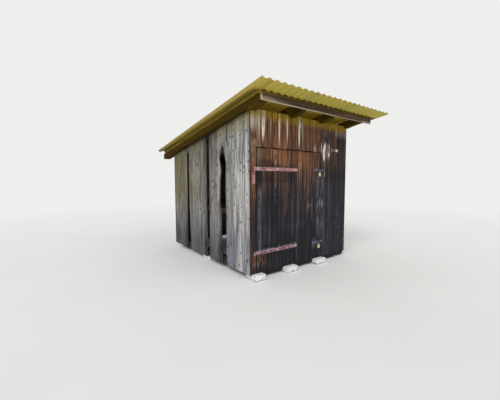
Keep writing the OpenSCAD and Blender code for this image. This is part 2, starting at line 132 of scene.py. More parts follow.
class Nodes:
    """Short calls that build the node tree of one material, or of the world."""

    def __init__(self, name, owners=bpy.data.materials, out="OutputMaterial"):
        self.mat = owners.new(name)
        self.mat.use_nodes = True
        self.tree = self.mat.node_tree
        self.tree.nodes.clear()
        self.out = self.new(out)

    def new(self, kind, **props):
        n = self.tree.nodes.new("ShaderNode" + kind)
        for k, v in props.items():
            setattr(n, k, v)
        return n

    def put(self, socket, v):
        if isinstance(v, bpy.types.NodeSocket):
            self.tree.links.new(v, socket)
        else:
            socket.default_value = v

    def node(self, kind, *values, out=0, **props):
        """A node with its first inputs set; gives one of its outputs."""
        n = self.new(kind, **props)
        for s, v in zip(n.inputs, values):
            self.put(s, v)
        return n.outputs[out]

    def coord(self):
        return self.new("TexCoord").outputs["Object"]

    def look(self):
        """The piece's painted attribute: its colour's three parts and its alpha."""
        paint = self.new("Attribute", attribute_name="look").outputs
        parts = self.node("SeparateColor", paint["Color"]).node.outputs
        return parts[0], parts[1], parts[2], paint["Alpha"]

    def do(self, op, a, b=0.0, clamp=False):
        return self.node("Math", a, b, operation=op, use_clamp=clamp)

    add = partialmethod(do, "ADD")
    sub = partialmethod(do, "SUBTRACT")
    mul = partialmethod(do, "MULTIPLY")
    more = partialmethod(do, "MAXIMUM")
    join = partialmethod(node, "CombineXYZ")
    shift = partialmethod(node, "VectorMath", operation="ADD")
    dot = partialmethod(node, "VectorMath", out="Value", operation="DOT_PRODUCT")

    def off(self, v, k):
        """How far a noise is from its middle, times k."""
        return self.mul(self.sub(v, 0.5), k)

    def scale(self, p, k):
        """A point times three numbers, or times one."""
        return self.node("VectorMath", p, k if isinstance(k, tuple) else (k,) * 3,
                         operation="MULTIPLY")

    def noise(self, vec, detail=4.0, rough=0.55):
        return self.node("TexNoise", vec, 0.0, 1.0, detail, rough)

    def cells(self, vec, flat=False):
        """Distance to the nearest of scattered spots, and that spot's own number."""
        dist = self.node("TexVoronoi", vec, 0.0, 1.0, voronoi_dimensions="2D" if flat else "3D")
        return dist, self.node("SeparateColor", dist.node.outputs["Color"])

    def step(self, v, a, b, lo=0.0, hi=1.0):
        """lo where v is at a, hi where it is at b, with a soft start and end."""
        ends = (a, b, lo, hi) if a < b else (b, a, hi, lo)
        return self.node("MapRange", v, *ends, interpolation_type="SMOOTHSTEP")

    def ramp(self, v, places, *colours):
        """A colour for each place of v; colours of four parts are linear already."""
        out = self.node("ValToRGB", v)
        stops = out.node.color_ramp.elements
        while len(stops) < len(places):
            stops.new(0.5)
        for stop, place, colour in zip(stops, places, colours):
            stop.position = place
            stop.color = colour if len(colour) == 4 else rgb(*colour)
        return out

    def mix(self, a, b, f, blend="MIX"):
        n = self.new("Mix", data_type="RGBA", blend_type=blend)
        for i, v in ((0, f), (6, a), (7, b)):
            self.put(n.inputs[i], v)
        return n.outputs[2]

    def tint(self, col, *rows):
        """Mixes colours over col; a row is a colour, its mask and the mask's strength."""
        for colour, mask, most in rows:
            col = self.mix(col, rgb(*colour), self.mul(mask, most))
        return col

    def shade(self, col, tone):
        return self.mix(col, self.join(tone, tone, tone), 1.0, "MULTIPLY")

    def named(self, kind, **values):
        """A node with inputs set by name; gives its first output."""
        n = self.new(kind)
        for name, v in values.items():
            if v is not None:
                self.put(n.inputs[name.replace("_", " ")], v)
        return n.outputs[0]

    def bump(self, height, dist):
        return self.named("Bump", Strength=1.0, Distance=dist, Height=height)

    def surface(self, color, rough, normal=None, specular=0.25, metallic=0.0):
        return self.named("BsdfPrincipled", Base_Color=color, Roughness=rough, Normal=normal,
                          Specular_IOR_Level=specular, Metallic=metallic)

    def seen(self):
        """1 for rays from the camera and through mirrors or glass, 0 for other light."""
        ray = self.new("LightPath").outputs
        return self.more(ray["Is Camera Ray"],
                         self.more(ray["Is Glossy Ray"], ray["Is Transmission Ray"]))

    def end(self, shader):
        self.put(self.out.inputs[0], shader)
        return self.mat

    def finish(self, *parts):
        return self.end(self.surface(*parts))


class Wood:
    """Grain, streak, patch, crack and knot masks of a board whose grain runs along an axis."""

    def __init__(self, t, along, cell=6.0, knotty=0.5, size=0.075, gain=1.5, flat=False):
        def stretch(across, length):
            k = [across] * 3
            k["xyz".index(along)] = length
            return t.scale(q, tuple(k))

        self.t = t
        self.p = t.coord()
        self.look = t.look()
        q = t.shift(self.p, t.join(*[t.mul(self.look[3], k) for k in (31.7, 17.3, 53.1)]))
        spot = t.join(t.dot(q, (cell, cell, 0.0)), t.dot(q, (0.0, 0.0, cell * 1.1)),
                      0.0) if flat else stretch(cell, cell * 0.8)
        dist, pick = t.cells(spot, flat)
        has = t.step(pick, 1 - knotty, 1 - knotty + 0.04)
        self.knot = t.mul(t.step(dist, size * 1.3, size * 0.7), has)
        self.halo = t.mul(t.step(dist, size * 4.5, 0.0), has)
        push = t.mul(self.halo, 0.02)
        q = t.shift(q, t.join(push, push, push))
        self.fine, self.streak, self.band, self.patch, ridge = [
            t.noise(stretch(across, length), detail, rough)
            for across, length, detail, rough in (
                (210.0, 5.0, 5.0, 0.6), (46.0, 1.3, 4.0, 0.6), (17.0, 0.7, 3.0, 0.55),
                (7.0, 1.6, 3.0, 0.5), (30.0, 0.8, 2.0, 0.5))]
        ridge = t.do("ABSOLUTE", t.sub(ridge, 0.5))
        self.crack = t.mul(t.step(ridge, 0.014, 0.002), t.step(self.patch, 0.42, 0.56))
        v = t.add(t.mul(self.fine, 0.35), t.mul(self.streak, 0.4))
        self.v = t.add(t.off(t.add(v, t.mul(self.band, 0.25)), gain), 0.5)

    def tone(self, by, lo, hi):
        """Each board's own brightness."""
        return self.t.step(self.t.do("FRACT", self.t.mul(self.look[3], by)), 0.0, 1.0, lo, hi)

    def below_roof(self):
        """How far a point is below the rafters' underside, metres."""
        level = (under(0) + FALL * -ORIGIN_Y) / 1000
        return self.t.sub(level, self.t.dot(self.p, (0.0, FALL, 1.0)))

    def bump(self, dist):
        t = self.t
        h = t.add(t.mul(self.fine, 0.5), t.mul(self.streak, 0.8))
        return t.bump(t.sub(t.sub(h, t.mul(self.crack, 1.2)), t.mul(self.knot, 0.4)), dist)

    def inner_face(self, col, first):
        """Mixes in the plain brown of the boards' backs and the near-black of their edges,
        painted shade in the seams and gaps.
        """
        t = self.t
        brown = t.ramp(self.v, (0.3, 0.5, 0.7), (76, 64, 52), (112, 94, 76), (146, 124, 100))
        col = t.mix(col, brown, t.step(first, 0.0, -0.9))
        # Painted shade: the boards' edge faces near-black
        edge = t.mul(t.step(first, -0.05, -0.35), t.step(first, -0.999, -0.94))
        return t.tint(col, ((13, 11, 9), edge, 0.97))

    def finish(self, col, lo, hi, dist, specular=0.25):
        rough = self.t.step(self.fine, 0.3, 0.7, lo, hi)
        return self.t.finish(col, rough, self.bump(dist), specular)


def grey_wood():
    """Silver-grey weathered boards: olive near the roof, bluish at the foot."""
    t = Nodes("weathered_boards")
    w = Wood(t, "z", 7.5, 0.5, 0.09, 2.4, True)
    dark, olive, blue = w.look[:3]
    col = t.ramp(w.v, (0.22, 0.4, 0.54, 0.74), (90, 86, 82), (143, 141, 137),
                 (175, 174, 172), (218, 217, 215))
    col = t.shade(col, w.tone(7.7, 0.88, 1.08))
    # Last row: the look's dark part, board tones together with painted shade
    col = t.tint(col, ((96, 90, 84), t.step(w.patch, 0.5, 0.68), 0.6),
                 ((142, 130, 50), olive, 0.84), ((116, 122, 152), blue, 0.48),
                 ((82, 75, 66), w.halo, 0.3), ((44, 40, 38), w.crack, 0.8),
                 ((36, 32, 31), w.knot, 0.9), ((46, 42, 38), t.more(dark), 1.0))
    return w.finish(w.inner_face(col, dark), 0.8, 0.94, 0.004)


def stained_wood():
    """Front boards: red-brown stain, orange bare wood, old tar and pale worn streaks, with
    painted gold light from the sheets just under the roof.
    """
    t = Nodes("stained_boards")
    w = Wood(t, "z", 6.0, 0.35, 0.07, 2.0)
    wear, brown, orange = w.look[:3]
    tar = t.ramp(w.v, (0.28, 0.46, 0.58, 0.74), (15, 15, 19), (30, 30, 37), (42, 42, 51),
                 (74, 75, 88))
    red = t.ramp(w.v, (0.26, 0.44, 0.6, 0.76), (48, 31, 22), (92, 61, 43), (132, 91, 63),
                 (168, 124, 90))
    bare = t.ramp(w.v, (0.28, 0.5, 0.7), (92, 54, 28), (142, 90, 52), (180, 124, 78))
    rag = t.add(t.off(w.streak, 1.5), t.off(w.band, 1.7))
    col = t.mix(tar, red, t.step(t.add(brown, t.mul(rag, 0.55)), 0.05, 0.95))
    col = t.mix(col, bare, t.step(t.add(orange, t.mul(rag, 0.7)), 0.22, 0.98))
    col = t.shade(col, w.tone(5.3, 0.78, 1.18))
    # Darker where the look's orange part is below zero
    col = t.shade(col, t.step(orange, 0.0, -1.0, 1.0, 0.3))
    pale = t.mix(rgb(98, 98, 108), t.ramp(w.v, (0.3, 0.7), (200, 185, 160), (248, 238, 220)),
                 t.more(t.step(brown, 0.3, 0.7), t.step(wear, 0.5, 0.85)))
    how = t.do("MULTIPLY", t.more(wear), t.step(w.v, 0.24, 0.58, 0.22, 1.45), True)
    col = t.mix(col, pale, how)
    # Painted light: gold from the translucent sheets on the boards just under the roof
    painted_sheet_light = t.ramp(w.v, (0.3, 0.7), (108, 84, 0), (188, 152, 24))
    near = t.step(t.add(w.below_roof(), t.off(w.streak, 0.3)), 0.15, 0.03)
    col = t.mix(col, painted_sheet_light, t.mul(near, t.step(wear, 0.3, 1.1, 0.9, 0.5)))
    col = t.tint(col, ((12, 11, 11), w.crack, 0.85), ((16, 13, 12), w.knot, 0.75))
    return w.finish(w.inner_face(col, wear), 0.62, 0.88, 0.004, 0.22)


def sawn_wood(name, along, low, mid, high, glow=0.0, specular=0.25):
    """Plain sawn timber, with olive light from the sheets where it lies near them."""
    t = Nodes(name)
    w = Wood(t, along, 3.5, 0.4, 0.06)
    col = t.ramp(w.v, (0.3, 0.5, 0.7), low, mid, high)
    col = t.tint(col, (low, t.step(w.patch, 0.5, 0.75), 0.5))
    if glow:
        col = t.tint(col, ((126, 104, 24), t.step(w.below_roof(), 0.1, -0.16), glow))
    # The look's second part paints lighter, painted light on the inner rafters; its first
    # paints darker
    col = t.tint(col, ([c * 1.45 for c in high], w.look[1], 0.75),
                 ([c * 0.45 for c in low], w.look[0], 1.0),
                 ((20, 15, 12), w.crack, 0.8), ((24, 18, 14), w.knot, 0.8))
    return w.finish(col, 0.78, 0.92, 0.003, specular)


def fascia_wood():
    """Fascia: dark weathered board with a pale left end and a pale lower edge, both painted
    sunlight.
    """
    t = Nodes("fascia_board")
    w = Wood(t, "x")
    pale, brown = w.look[:2]
    col = t.ramp(w.v, (0.28, 0.5, 0.7), (40, 29, 24), (68, 51, 42), (108, 88, 72))
    # Pale: painted sunlight on the left end and the lower edge
    light = t.ramp(w.v, (0.3, 0.65), (150, 134, 108), (222, 210, 182))
    col = t.mix(col, light, t.step(t.add(pale, t.off(w.v, 0.8)), 0.15, 0.9))
    col = t.tint(col, ((86, 66, 26), brown, 0.55), ((30, 25, 22), w.crack, 0.85))
    return t.finish(col, 0.85, w.bump(0.003))


def sheet_plastic():
    """Aged translucent yellow sheet with dirt in the valleys, moss at the low end, and painted
    light and shade.
    """
    t = Nodes("roof_sheet_plastic")
    p = t.coord()
    low, edge, foot, painted_lighting = t.look()
    runs = t.noise(t.scale(p, (22.0, 1.0, 1.0)))
    cloud = t.noise(t.scale(p, (2.4, 1.5, 1.5)))
    fibre = t.noise(t.scale(p, 320.0), 2.0, 0.6)
    dirt = t.mul(t.step(low, 0.45, 1.0), t.step(runs, 0.3, 0.62))
    moss = t.step(t.add(foot, t.off(cloud, 1.2)), 0.45, 0.9)
    # Painted light: the front overhang, and an outer sheet where the middle one laps it, made
    # lighter
    painted_light = t.do("MULTIPLY", painted_lighting, t.step(low, 0.1, 1.0, 0.86, 0.6), True)
    # Painted shade: the underside made near-black over the house, beside the left verge and
    # over the fascia
    painted_shade = t.step(painted_lighting, -0.1, -0.9, 0.0, 0.86)
    col = t.ramp(runs, (0.34, 0.5, 0.66), (164, 150, 66), (176, 163, 76), (188, 176, 90))
    col = t.tint(col, ((150, 138, 62), t.step(cloud, 0.45, 0.75), 0.6),
                 ((112, 98, 42), dirt, 0.45), ((92, 92, 44), moss, 0.5),
                 ((226, 221, 124), painted_light, 1.0), ((216, 200, 124), edge, 0.7),
                 ((38, 30, 12), painted_shade, 1.0))
    normal = t.bump(t.add(t.mul(fibre, 0.4), t.mul(runs, 0.3)), 0.0008)
    plain = t.surface(col, t.step(cloud, 0.35, 0.7, 0.4, 0.55), normal)
    # Colour of the light passing through: yellow, and dark too where shade is painted
    lit = t.tint(col, ((214, 184, 44), t.step(painted_lighting, -0.9, 0.0, 0.0, 0.45), 1.0))
    through = t.node("BsdfTranslucent", lit, normal)
    return t.end(t.node("MixShader", 0.42, plain, through))


def brick_stone():
    """White sand-lime brick: fine pores, soil stains from the foot up."""
    t = Nodes("white_brick")
    p = t.coord()
    one = t.look()[3]
    grain = t.noise(t.scale(p, 330.0), 3.0, 0.6)
    cloud = t.noise(t.shift(t.scale(p, 14.0), t.join(one, one, one)), 4.0, 0.6)
    hole = t.step(t.cells(t.scale(p, 170.0))[0], 0.22, 0.12)
    soil = t.step(t.add(t.dot(p, (0.0, 0.0, 1.0)), t.off(cloud, 0.1)), 0.034, 0.0)
    col = t.ramp(cloud, (0.35, 0.5, 0.65), (198, 199, 203), (220, 221, 225), (236, 237, 240))
    col = t.tint(col, ((126, 112, 92), soil, 0.7), ((132, 129, 126), hole, 0.5))
    return t.finish(col, 0.9, t.bump(t.sub(t.mul(grain, 0.5), hole), 0.0016), 0.3)


def worn_paint(name, faded, rusty_all=0.0):
    """Faded pinkish red paint with chips and rust on strap iron."""
    t = Nodes(name)
    p = t.coord()
    worn, rusty = t.look()[:2]
    n = t.noise(t.scale(p, (28.0, 60.0, 60.0)), 6.0, 0.65)
    m = t.noise(t.scale(p, (7.0, 30.0, 30.0)), 3.0, 0.55)
    col = t.ramp(m, (0.34, 0.5, 0.66), *faded)
    col = t.tint(col, ((222, 202, 204), worn, t.step(n, 0.4, 0.6)))
    chip = t.step(n, 0.6 - rusty_all, 0.645 - rusty_all)
    how = t.more(chip, t.mul(rusty, t.step(n, 0.4, 0.55)))
    rust = t.ramp(m, (0.38, 0.6), (52, 34, 30), (104, 62, 48))
    col = t.mix(col, rust, t.mul(how, 0.85))
    normal = t.bump(t.sub(t.mul(n, 0.3), t.mul(how, 0.5)), 0.0012)
    return t.finish(col, t.step(how, 0.0, 1.0, 0.55, 0.88), normal, 0.35)


def metal(name, low, mid, high, rust, rough, shine):
    """Dull metal with stains; rust is how much of it is rusty."""
    t = Nodes(name)
    p = t.coord()
    n = t.noise(t.scale(p, 70.0), 5.0, 0.65)
    m = t.noise(t.scale(p, 240.0), 3.0, 0.6)
    how = t.step(n, 0.68 - rust * 0.22, 0.74 - rust * 0.16)
    col = t.tint(t.ramp(n, (0.36, 0.5, 0.66), low, mid, high), ((84, 50, 36), how, 0.7))
    normal = t.bump(t.add(t.mul(m, 0.5), t.mul(how, 0.4)), 0.0006)
    return t.finish(col, t.step(how, 0.0, 1.0, rough, 0.85), normal, 0.5, shine)


GREY = grey_wood()
FRONT = stained_wood()
# Frame timbers: dark brown, partly as painted shade where they are seen through the gaps
DARK = ((32, 24, 19), (54, 42, 33), (80, 65, 52))
FRAME_Z = sawn_wood("frame_timber_upright", "z", *DARK)
FRAME_X = sawn_wood("frame_timber_cross", "x", *DARK, 0.25)
FRAME_Y = sawn_wood("frame_timber_side", "y", (26, 20, 16), (42, 33, 27), (62, 51, 42), 0.25)
# Front sill: near-black as painted shadow in the gap under the front boards and the door
SHADOW_SILL = sawn_wood("front_sill_timber", "x", (16, 14, 14), (30, 27, 27), (48, 44, 42))
# Rafters: dark olive, darkened as painted shade under the roof
RAFTER = sawn_wood("rafter_timber", "y", (32, 24, 4), (54, 42, 8), (80, 61, 18), 0.3, 0.06)
PURLIN = sawn_wood("purlin_timber", "x", (58, 44, 16), (94, 76, 32), (126, 106, 52), 0.35)
# Verge timbers: yellow-olive as painted light through the sheets
VERGE = sawn_wood("verge_timber", "y", (110, 92, 26), (156, 132, 42), (188, 164, 74), 0.45)
FASCIA = fascia_wood()
SHEET = sheet_plastic()
BRICK = brick_stone()
STRAP = worn_paint("faded_strap_paint", ((130, 80, 84), (158, 112, 114), (188, 152, 152)))
LOW_STRAP = worn_paint("lower_strap_paint", ((98, 62, 75), (127, 88, 102), (158, 127, 140)))
PINTLE = worn_paint("faded_pintle_paint", ((134, 76, 80), (164, 104, 108), (190, 144, 144)),
                    0.04)
RUSTY = worn_paint("rusty_pintle_paint", ((60, 40, 38), (84, 52, 46), (112, 72, 62)), 0.08)
BOLT = metal("bolt_steel", (140, 118, 114), (196, 176, 170), (232, 220, 214), 0.3, 0.5, 0.3)
IRON = metal("hasp_steel", (42, 42, 48), (62, 62, 70), (116, 118, 136), 0.45, 0.5, 0.35)
# Screw heads: pale steel, made pale partly as painted glints
SCREW = metal("screw_steel", (120, 118, 136), (176, 174, 196), (226, 224, 240), 0.2, 0.4, 0.3)
NAIL = metal("nail_steel", (34, 30, 29), (54, 49, 46), (88, 82, 78), 0.8, 0.65, 0.4)
BRASS = metal("padlock_brass", (142, 136, 104), (200, 196, 158), (230, 228, 200),
              0.2, 0.5, 0.25)
SHACKLE = metal("shackle_steel", (110, 110, 112), (160, 160, 162), (200, 200, 202),
                0.2, 0.3, 0.9)


# ---- mesh helpers
PLAIN = (0, 0, 0, 0.5)


class Mesh:
    """One joined mesh, with the look attribute for every point."""

    def __init__(self):
        self.v, self.f, self.c, self.soft = [], [], [], []

    def add(self, verts, faces, looks, soft=False):
        n = len(self.v)
        self.v += verts
        self.f += [tuple(i + n for i in f) for f in faces]
        self.c += looks if isinstance(looks, list) else [looks] * len(verts)
        self.soft += [soft] * len(faces)

    def make(self, name, mat, body, slot, *nodes):
        me = bpy.data.meshes.new(name)
        me.from_pydata(self.v, [], self.f)
        me.update()
        me.polygons.foreach_set("use_smooth", self.soft)
        a = me.attributes.new("look", "FLOAT_COLOR", "POINT")
        a.data.foreach_set("color", [x for c in self.c for x in c])
        me.materials.append(mat)
        o = place(name, me)
        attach(o, body)
        if nodes:
            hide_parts(*nodes)


def plank(m, put, left, right, low, high, back, face, cols, rows, look, rnd, edge, cup=0.0,
          turn=1.0, seam=0.0, steps=()):
    """A board. put(u, v, d) places a point; left and right are its edges along v, low and
    high its ends along u (numbers or functions), back and face its depths. Edges are eased
    by edge mm and darkened by seam, as painted shade; steps are places across it where an
    end jumps."""
    left, right, low, high = line(left), line(right), line(low), line(high)
    start = (left(0) + right(0)) / 2
    z0, z1 = low(start), high(start)
    off = left((z0 + z1) / 2)
    wide, long = abs(right((z0 + z1) / 2) - off), abs(z1 - z0)
    ce, re = min(0.2, edge / wide), min(0.1, edge / long)
    cs = [0.0] + [ce + (1 - 2 * ce) * i / cols for i in range(cols + 1)] + [1.0]
    cs = sorted(cs + [(q - off) / wide for e in steps for q in (e - 0.3, e + 0.3)
                      if 0.05 * wide < q - off < 0.95 * wide])
    rs = [0.0] + [re + (1 - 2 * re) * i / rows for i in range(rows + 1)] + [1.0]
    sag = random.Random(int(rnd * 1e6)).uniform(-0.6, 0.6)
    verts, looks = [], []

    def point(c, r, d):
        v = z0 + (z1 - z0) * r
        for _ in range(2):
            u = left(v) + (right(v) - left(v)) * c
            v = low(u) + (high(u) - low(u)) * r
        verts.append(put(u, v, d))
        tint = look(u, v, rnd) if look else (0, 0, 0, rnd)
        # Edge faces take the seam value, which inner_face paints near-black as shade
        if seam and (c in (0.0, 1.0) or d == back):
            tint = (-1.0 if d == back else -seam,) + tint[1:]
        looks.append(tint)

    for r in rs:
        for c in cs:
            drop = edge if c in (0.0, 1.0) or r in (0.0, 1.0) else 0.0
            hump = cup * (1 - (2 * c - 1) ** 2) + sag * wob(rnd, r * long, 500)
            point(c, r, face - turn * drop + turn * min(0.0, hump - cup))
    n, k, last = len(cs), len(verts), len(rs) - 1
    for r in rs:
        point(0.0, r, back)
        point(1.0, r, back)
    faces = []
    for i in range(last):
        a, b = i * n, k + 2 * i
        faces += [(a + j, a + j + 1, a + n + j + 1, a + n + j) for j in range(n - 1)]
        faces += [(b + 1, b, b + 2, b + 3), (b, a, a + n, b + 2),
                  (a + n - 1, b + 1, b + 3, a + 2 * n - 1)]
    e = k + 2 * last
    faces.append((k, k + 1) + tuple(range(n))[::-1])
    faces.append((e + 1, e) + tuple(last * n + j for j in range(n)))
    m.add(verts, faces, looks)


def rounded(m, lo, hi, r, n, look, rough, seed):
    """A box with round edges and a slightly uneven surface, in mm."""
    verts, faces, index = [], [], {}

    def key(*q):
        if q not in index:
            p = [lo[a] + (hi[a] - lo[a]) * q[a] / n[a] for a in range(3)]
            for a in range(3):
                if q[a] == 1:
                    p[a] = lo[a] + r
                if q[a] == n[a] - 1:
                    p[a] = hi[a] - r
            core = [min(hi[a] - r, max(lo[a] + r, p[a])) for a in range(3)]
            d = Vector([p[a] - core[a] for a in range(3)])
            if d.length > 1e-6:
                s = Vector(p) / 23.0 + Vector((seed, seed * 2, seed * 3))
                push = r - rough * min(1.0, max(0.0, 0.5 + 0.8 * noise.noise(s)))
                d = d.normalized() * push
            index[q] = len(verts)
            verts.append(at(core[0] + d[0], core[1] + d[1], core[2] + d[2]))
        return index[q]

    for a in range(3):
        b, c = (a + 1) % 3, (a + 2) % 3
        for side, i, j in product((0, n[a]), range(n[b]), range(n[c])):
            quad, q = [], [0, 0, 0]
            for di, dj in ((0, 0), (1, 0), (1, 1), (0, 1)):
                q[a], q[b], q[c] = side, i + di, j + dj
                quad.append(key(*q))
            faces.append(tuple(quad if side else quad[::-1]))
    m.add(verts, faces, look, True)


def ring_faces(bands, seg):
    """Faces of the bands between rings of seg points."""
    return [(i * seg + k, i * seg + (k + 1) % seg, (i + 1) * seg + (k + 1) % seg,
             (i + 1) * seg + k) for i in range(bands) for k in range(seg)]


def ring_turns(seg):
    """The angles of a ring's points."""
    return [2 * math.pi * k / seg for k in range(seg)]


def dome(m, c, axis, r, h, rings, seg, lip=0.0):
    """A low round head on a surface at c (mm), standing out along axis."""
    n = Vector(axis).normalized()
    a = n.orthogonal().normalized()
    b = n.cross(a)
    verts = []
    for i in range(rings + 1):
        t = i / rings * math.pi / 2
        rr, hh = (max(r * math.cos(t), 0.001), lip + h * math.sin(t)) if i else (r, 0.0)
        for s in ring_turns(seg):
            verts.append(at(*(Vector(c) + n * hh + (a * math.cos(s) + b * math.sin(s)) * rr)))
    faces = ring_faces(rings, seg) + [tuple(rings * seg + k for k in range(seg))]
    m.add(verts, faces, PLAIN, True)


def tube(m, path, r, seg):
    """A round bar along points in mm, with closed ends."""
    pts = [Vector(p) for p in path]
    last = len(pts) - 1
    verts = []
    side = None
    for i, p in enumerate(pts):
        d = (pts[min(i + 1, last)] - pts[max(i - 1, 0)]).normalized()
        side = d.orthogonal() if side is None else side - d * side.dot(d)
        side.normalize()
        up = d.cross(side)
        for s in ring_turns(seg):
            verts.append(at(*(p + side * (r * math.cos(s)) + up * (r * math.sin(s)))))
    ends = [tuple(range(seg))[::-1], tuple(last * seg + k for k in range(seg))]
    m.add(verts, ring_faces(last, seg) + ends, PLAIN, True)


# ---- front boards
SEAMS = [206, 308, 412, 515, 617, 720, 822, 902, 981, 1080, 1180, 1262, 1326, 1430]
RIGHT_SEAMS = [1640, 1742, 1845, 1948, 2048, 2150, 2230]
STRIP_END, FRAME_X0, FRAME_X1 = 104.0, LEAF_X0 - LEAF_GAP, LEAF_X1 + LEAF_GAP
DOOR_TOP = LEAF_Z1 + 2

# Pale streaks over the door: x from, x to, z from, strength; they fade downwards
STREAKS = [
    (108, 127, 1990, 0.5), (145, 172, 1990, 0.6), (202, 270, 2010, 1.9),
    (372, 400, 2000, 0.62), (546, 568, 1950, 1.2), (718, 740, 1950, 1.3),
    (974, 1026, 1960, 1.8), (1068, 1087, 1980, 0.7), (620, 634, 2180, 0.35),
    (866, 880, 2160, 0.35), (1150, 1162, 2200, 0.45), (1690, 1706, 2290, 0.5),
    (1900, 1914, 2300, 0.45), (2110, 2124, 2280, 0.5),
]
# Pale worn places: x from, x to, z from, z to, strength
PALE = [
    (1374, 1390, 1966, 2024, 0.95), (1422, 1436, 1970, 2050, 0.25),
    (1560, 1577, 1912, 2120, 0.75), (1640, 1694, 2010, 2150, 0.95),
    (1616, 1672, 1880, 2070, 1.25), (1654, 1680, 1500, 1890, 0.55),
    (1722, 1812, 1880, 2112, 0.56), (1772, 1808, 1990, 2100, 0.8),
    (148, 200, 430, 1360, 0.4), (1742, 1780, 1820, 1960, 0.4),
    (1640, 1760, 2250, 2350, 0.2), (1356, 1444, 300, 446, 0.38),
    (1960, 2290, 2280, 2400, 0.36), (112, 198, 1690, 1960, 0.08),
]
# Bare orange places in the same order
BARE = [
    (460, 540, 1700, 1950, 0.64), (400, 470, 1740, 1950, 0.34), (486, 530, 1250, 1700, 0.3),
    (620, 960, 1700, 1940, 0.54), (790, 870, 1760, 1935, 0.55), (988, 1196, 1640, 1955, 0.44),
    (1196, 1320, 1500, 1955, 0.48), (1066, 1102, 1350, 1640, 0.38),
    (1200, 1330, 980, 1110, 0.5), (1196, 1316, 1250, 1540, 0.28),
    (24, 92, 1180, 2080, 0.42), (300, 420, 1760, 1950, 0.25), (10, 110, 200, 350, 0.35),
    (150, 210, 230, 330, 0.35), (230, 290, 330, 368, 0.45), (1300, 1540, 2010, 2120, 0.25),
    (760, 966, 1985, 2330, 0.4), (300, 420, 2000, 2330, 0.18),
]
# Worn arrises beside a seam: x, z from, z to, brown, pale
LINES = [
    (302, 1150, 1620, 0.4, 0.0), (240, 1300, 1620, 0.4, 0.1), (674, 900, 1450, 0.5, 0.12),
    (728, 1000, 1560, 0.5, 0.0), (860, 560, 960, 0.2, 0.24), (966, 940, 1630, 0.6, 0.2),
    (980, 380, 960, 0.1, 0.26), (1086, 900, 1200, 0.5, 0.0), (1336, 780, 1210, 0.5, 0.26),
    (174, 420, 1380, 0.1, 0.4), (184, 600, 1300, 0.1, 0.34), (131, 420, 1300, 0.2, 0.22),
    (1666, 300, 1500, 0.1, 0.25), (1846, 150, 1500, 0.0, 0.28), (2044, 150, 1300, 0.0, 0.2),
    (424, 150, 700, 0.1, 0.25), (130, 150, 420, 0.6, 0.2),
]
# Pale dots in a row right of the streaks: x of the middle, half width, strength
DOTS, DOTS_Z = [(1864, 12, 0.75), (1918, 12, 0.65), (1982, 24, 0.85), (2022, 26, 1.3)], 2022
# Darker places of the door: strength, then across and up the ends of each soft step
DOOR_DARKENING = [
    (0.4, (), (1600, 1400, 620, 900)), (0.34, (420, 330, 200, 215), (1450, 1600)),
    (0.24, (210, 200), (1820, 1880)), (0.66, (980, 940), (530, 490, 180, 320)),
    (0.54, (400, 520), (800, 600)), (0.34, (), (300, 200)),
    (0.58, (1170, 1190, 1340, 1320), (1400, 1250)),
    (0.5, (890, 910, 1090, 1070), (800, 650)),
    (0.56, (1322, 1336), (1450, 1600)), (0.14, (), (1700, 1640)),
]


def gates(v, *ends):
    """Product of soft steps, each given by where it is 0 and where it is 1."""
    return math.prod(smooth(a, b, v) for a, b in zip(ends[::2], ends[1::2]))


def window(places, x, z, sx, sz):
    """Strength of the strongest place at a point; its sides fade over sx and sz."""
    best = 0.0
    for x0, x1, z0, z1, k in places:
        if x0 - sx < x < x1 + sx and z0 - sz < z < z1 + sz:
            f = (gates(x, x0 - sx, x0 + sx * 0.6, x1 + sx, x1 - sx * 0.6)
                 * gates(z, z0 - sz, z0 + sz, z1 + sz, z1 - sz))
            best = max(best, f * k)
    return best


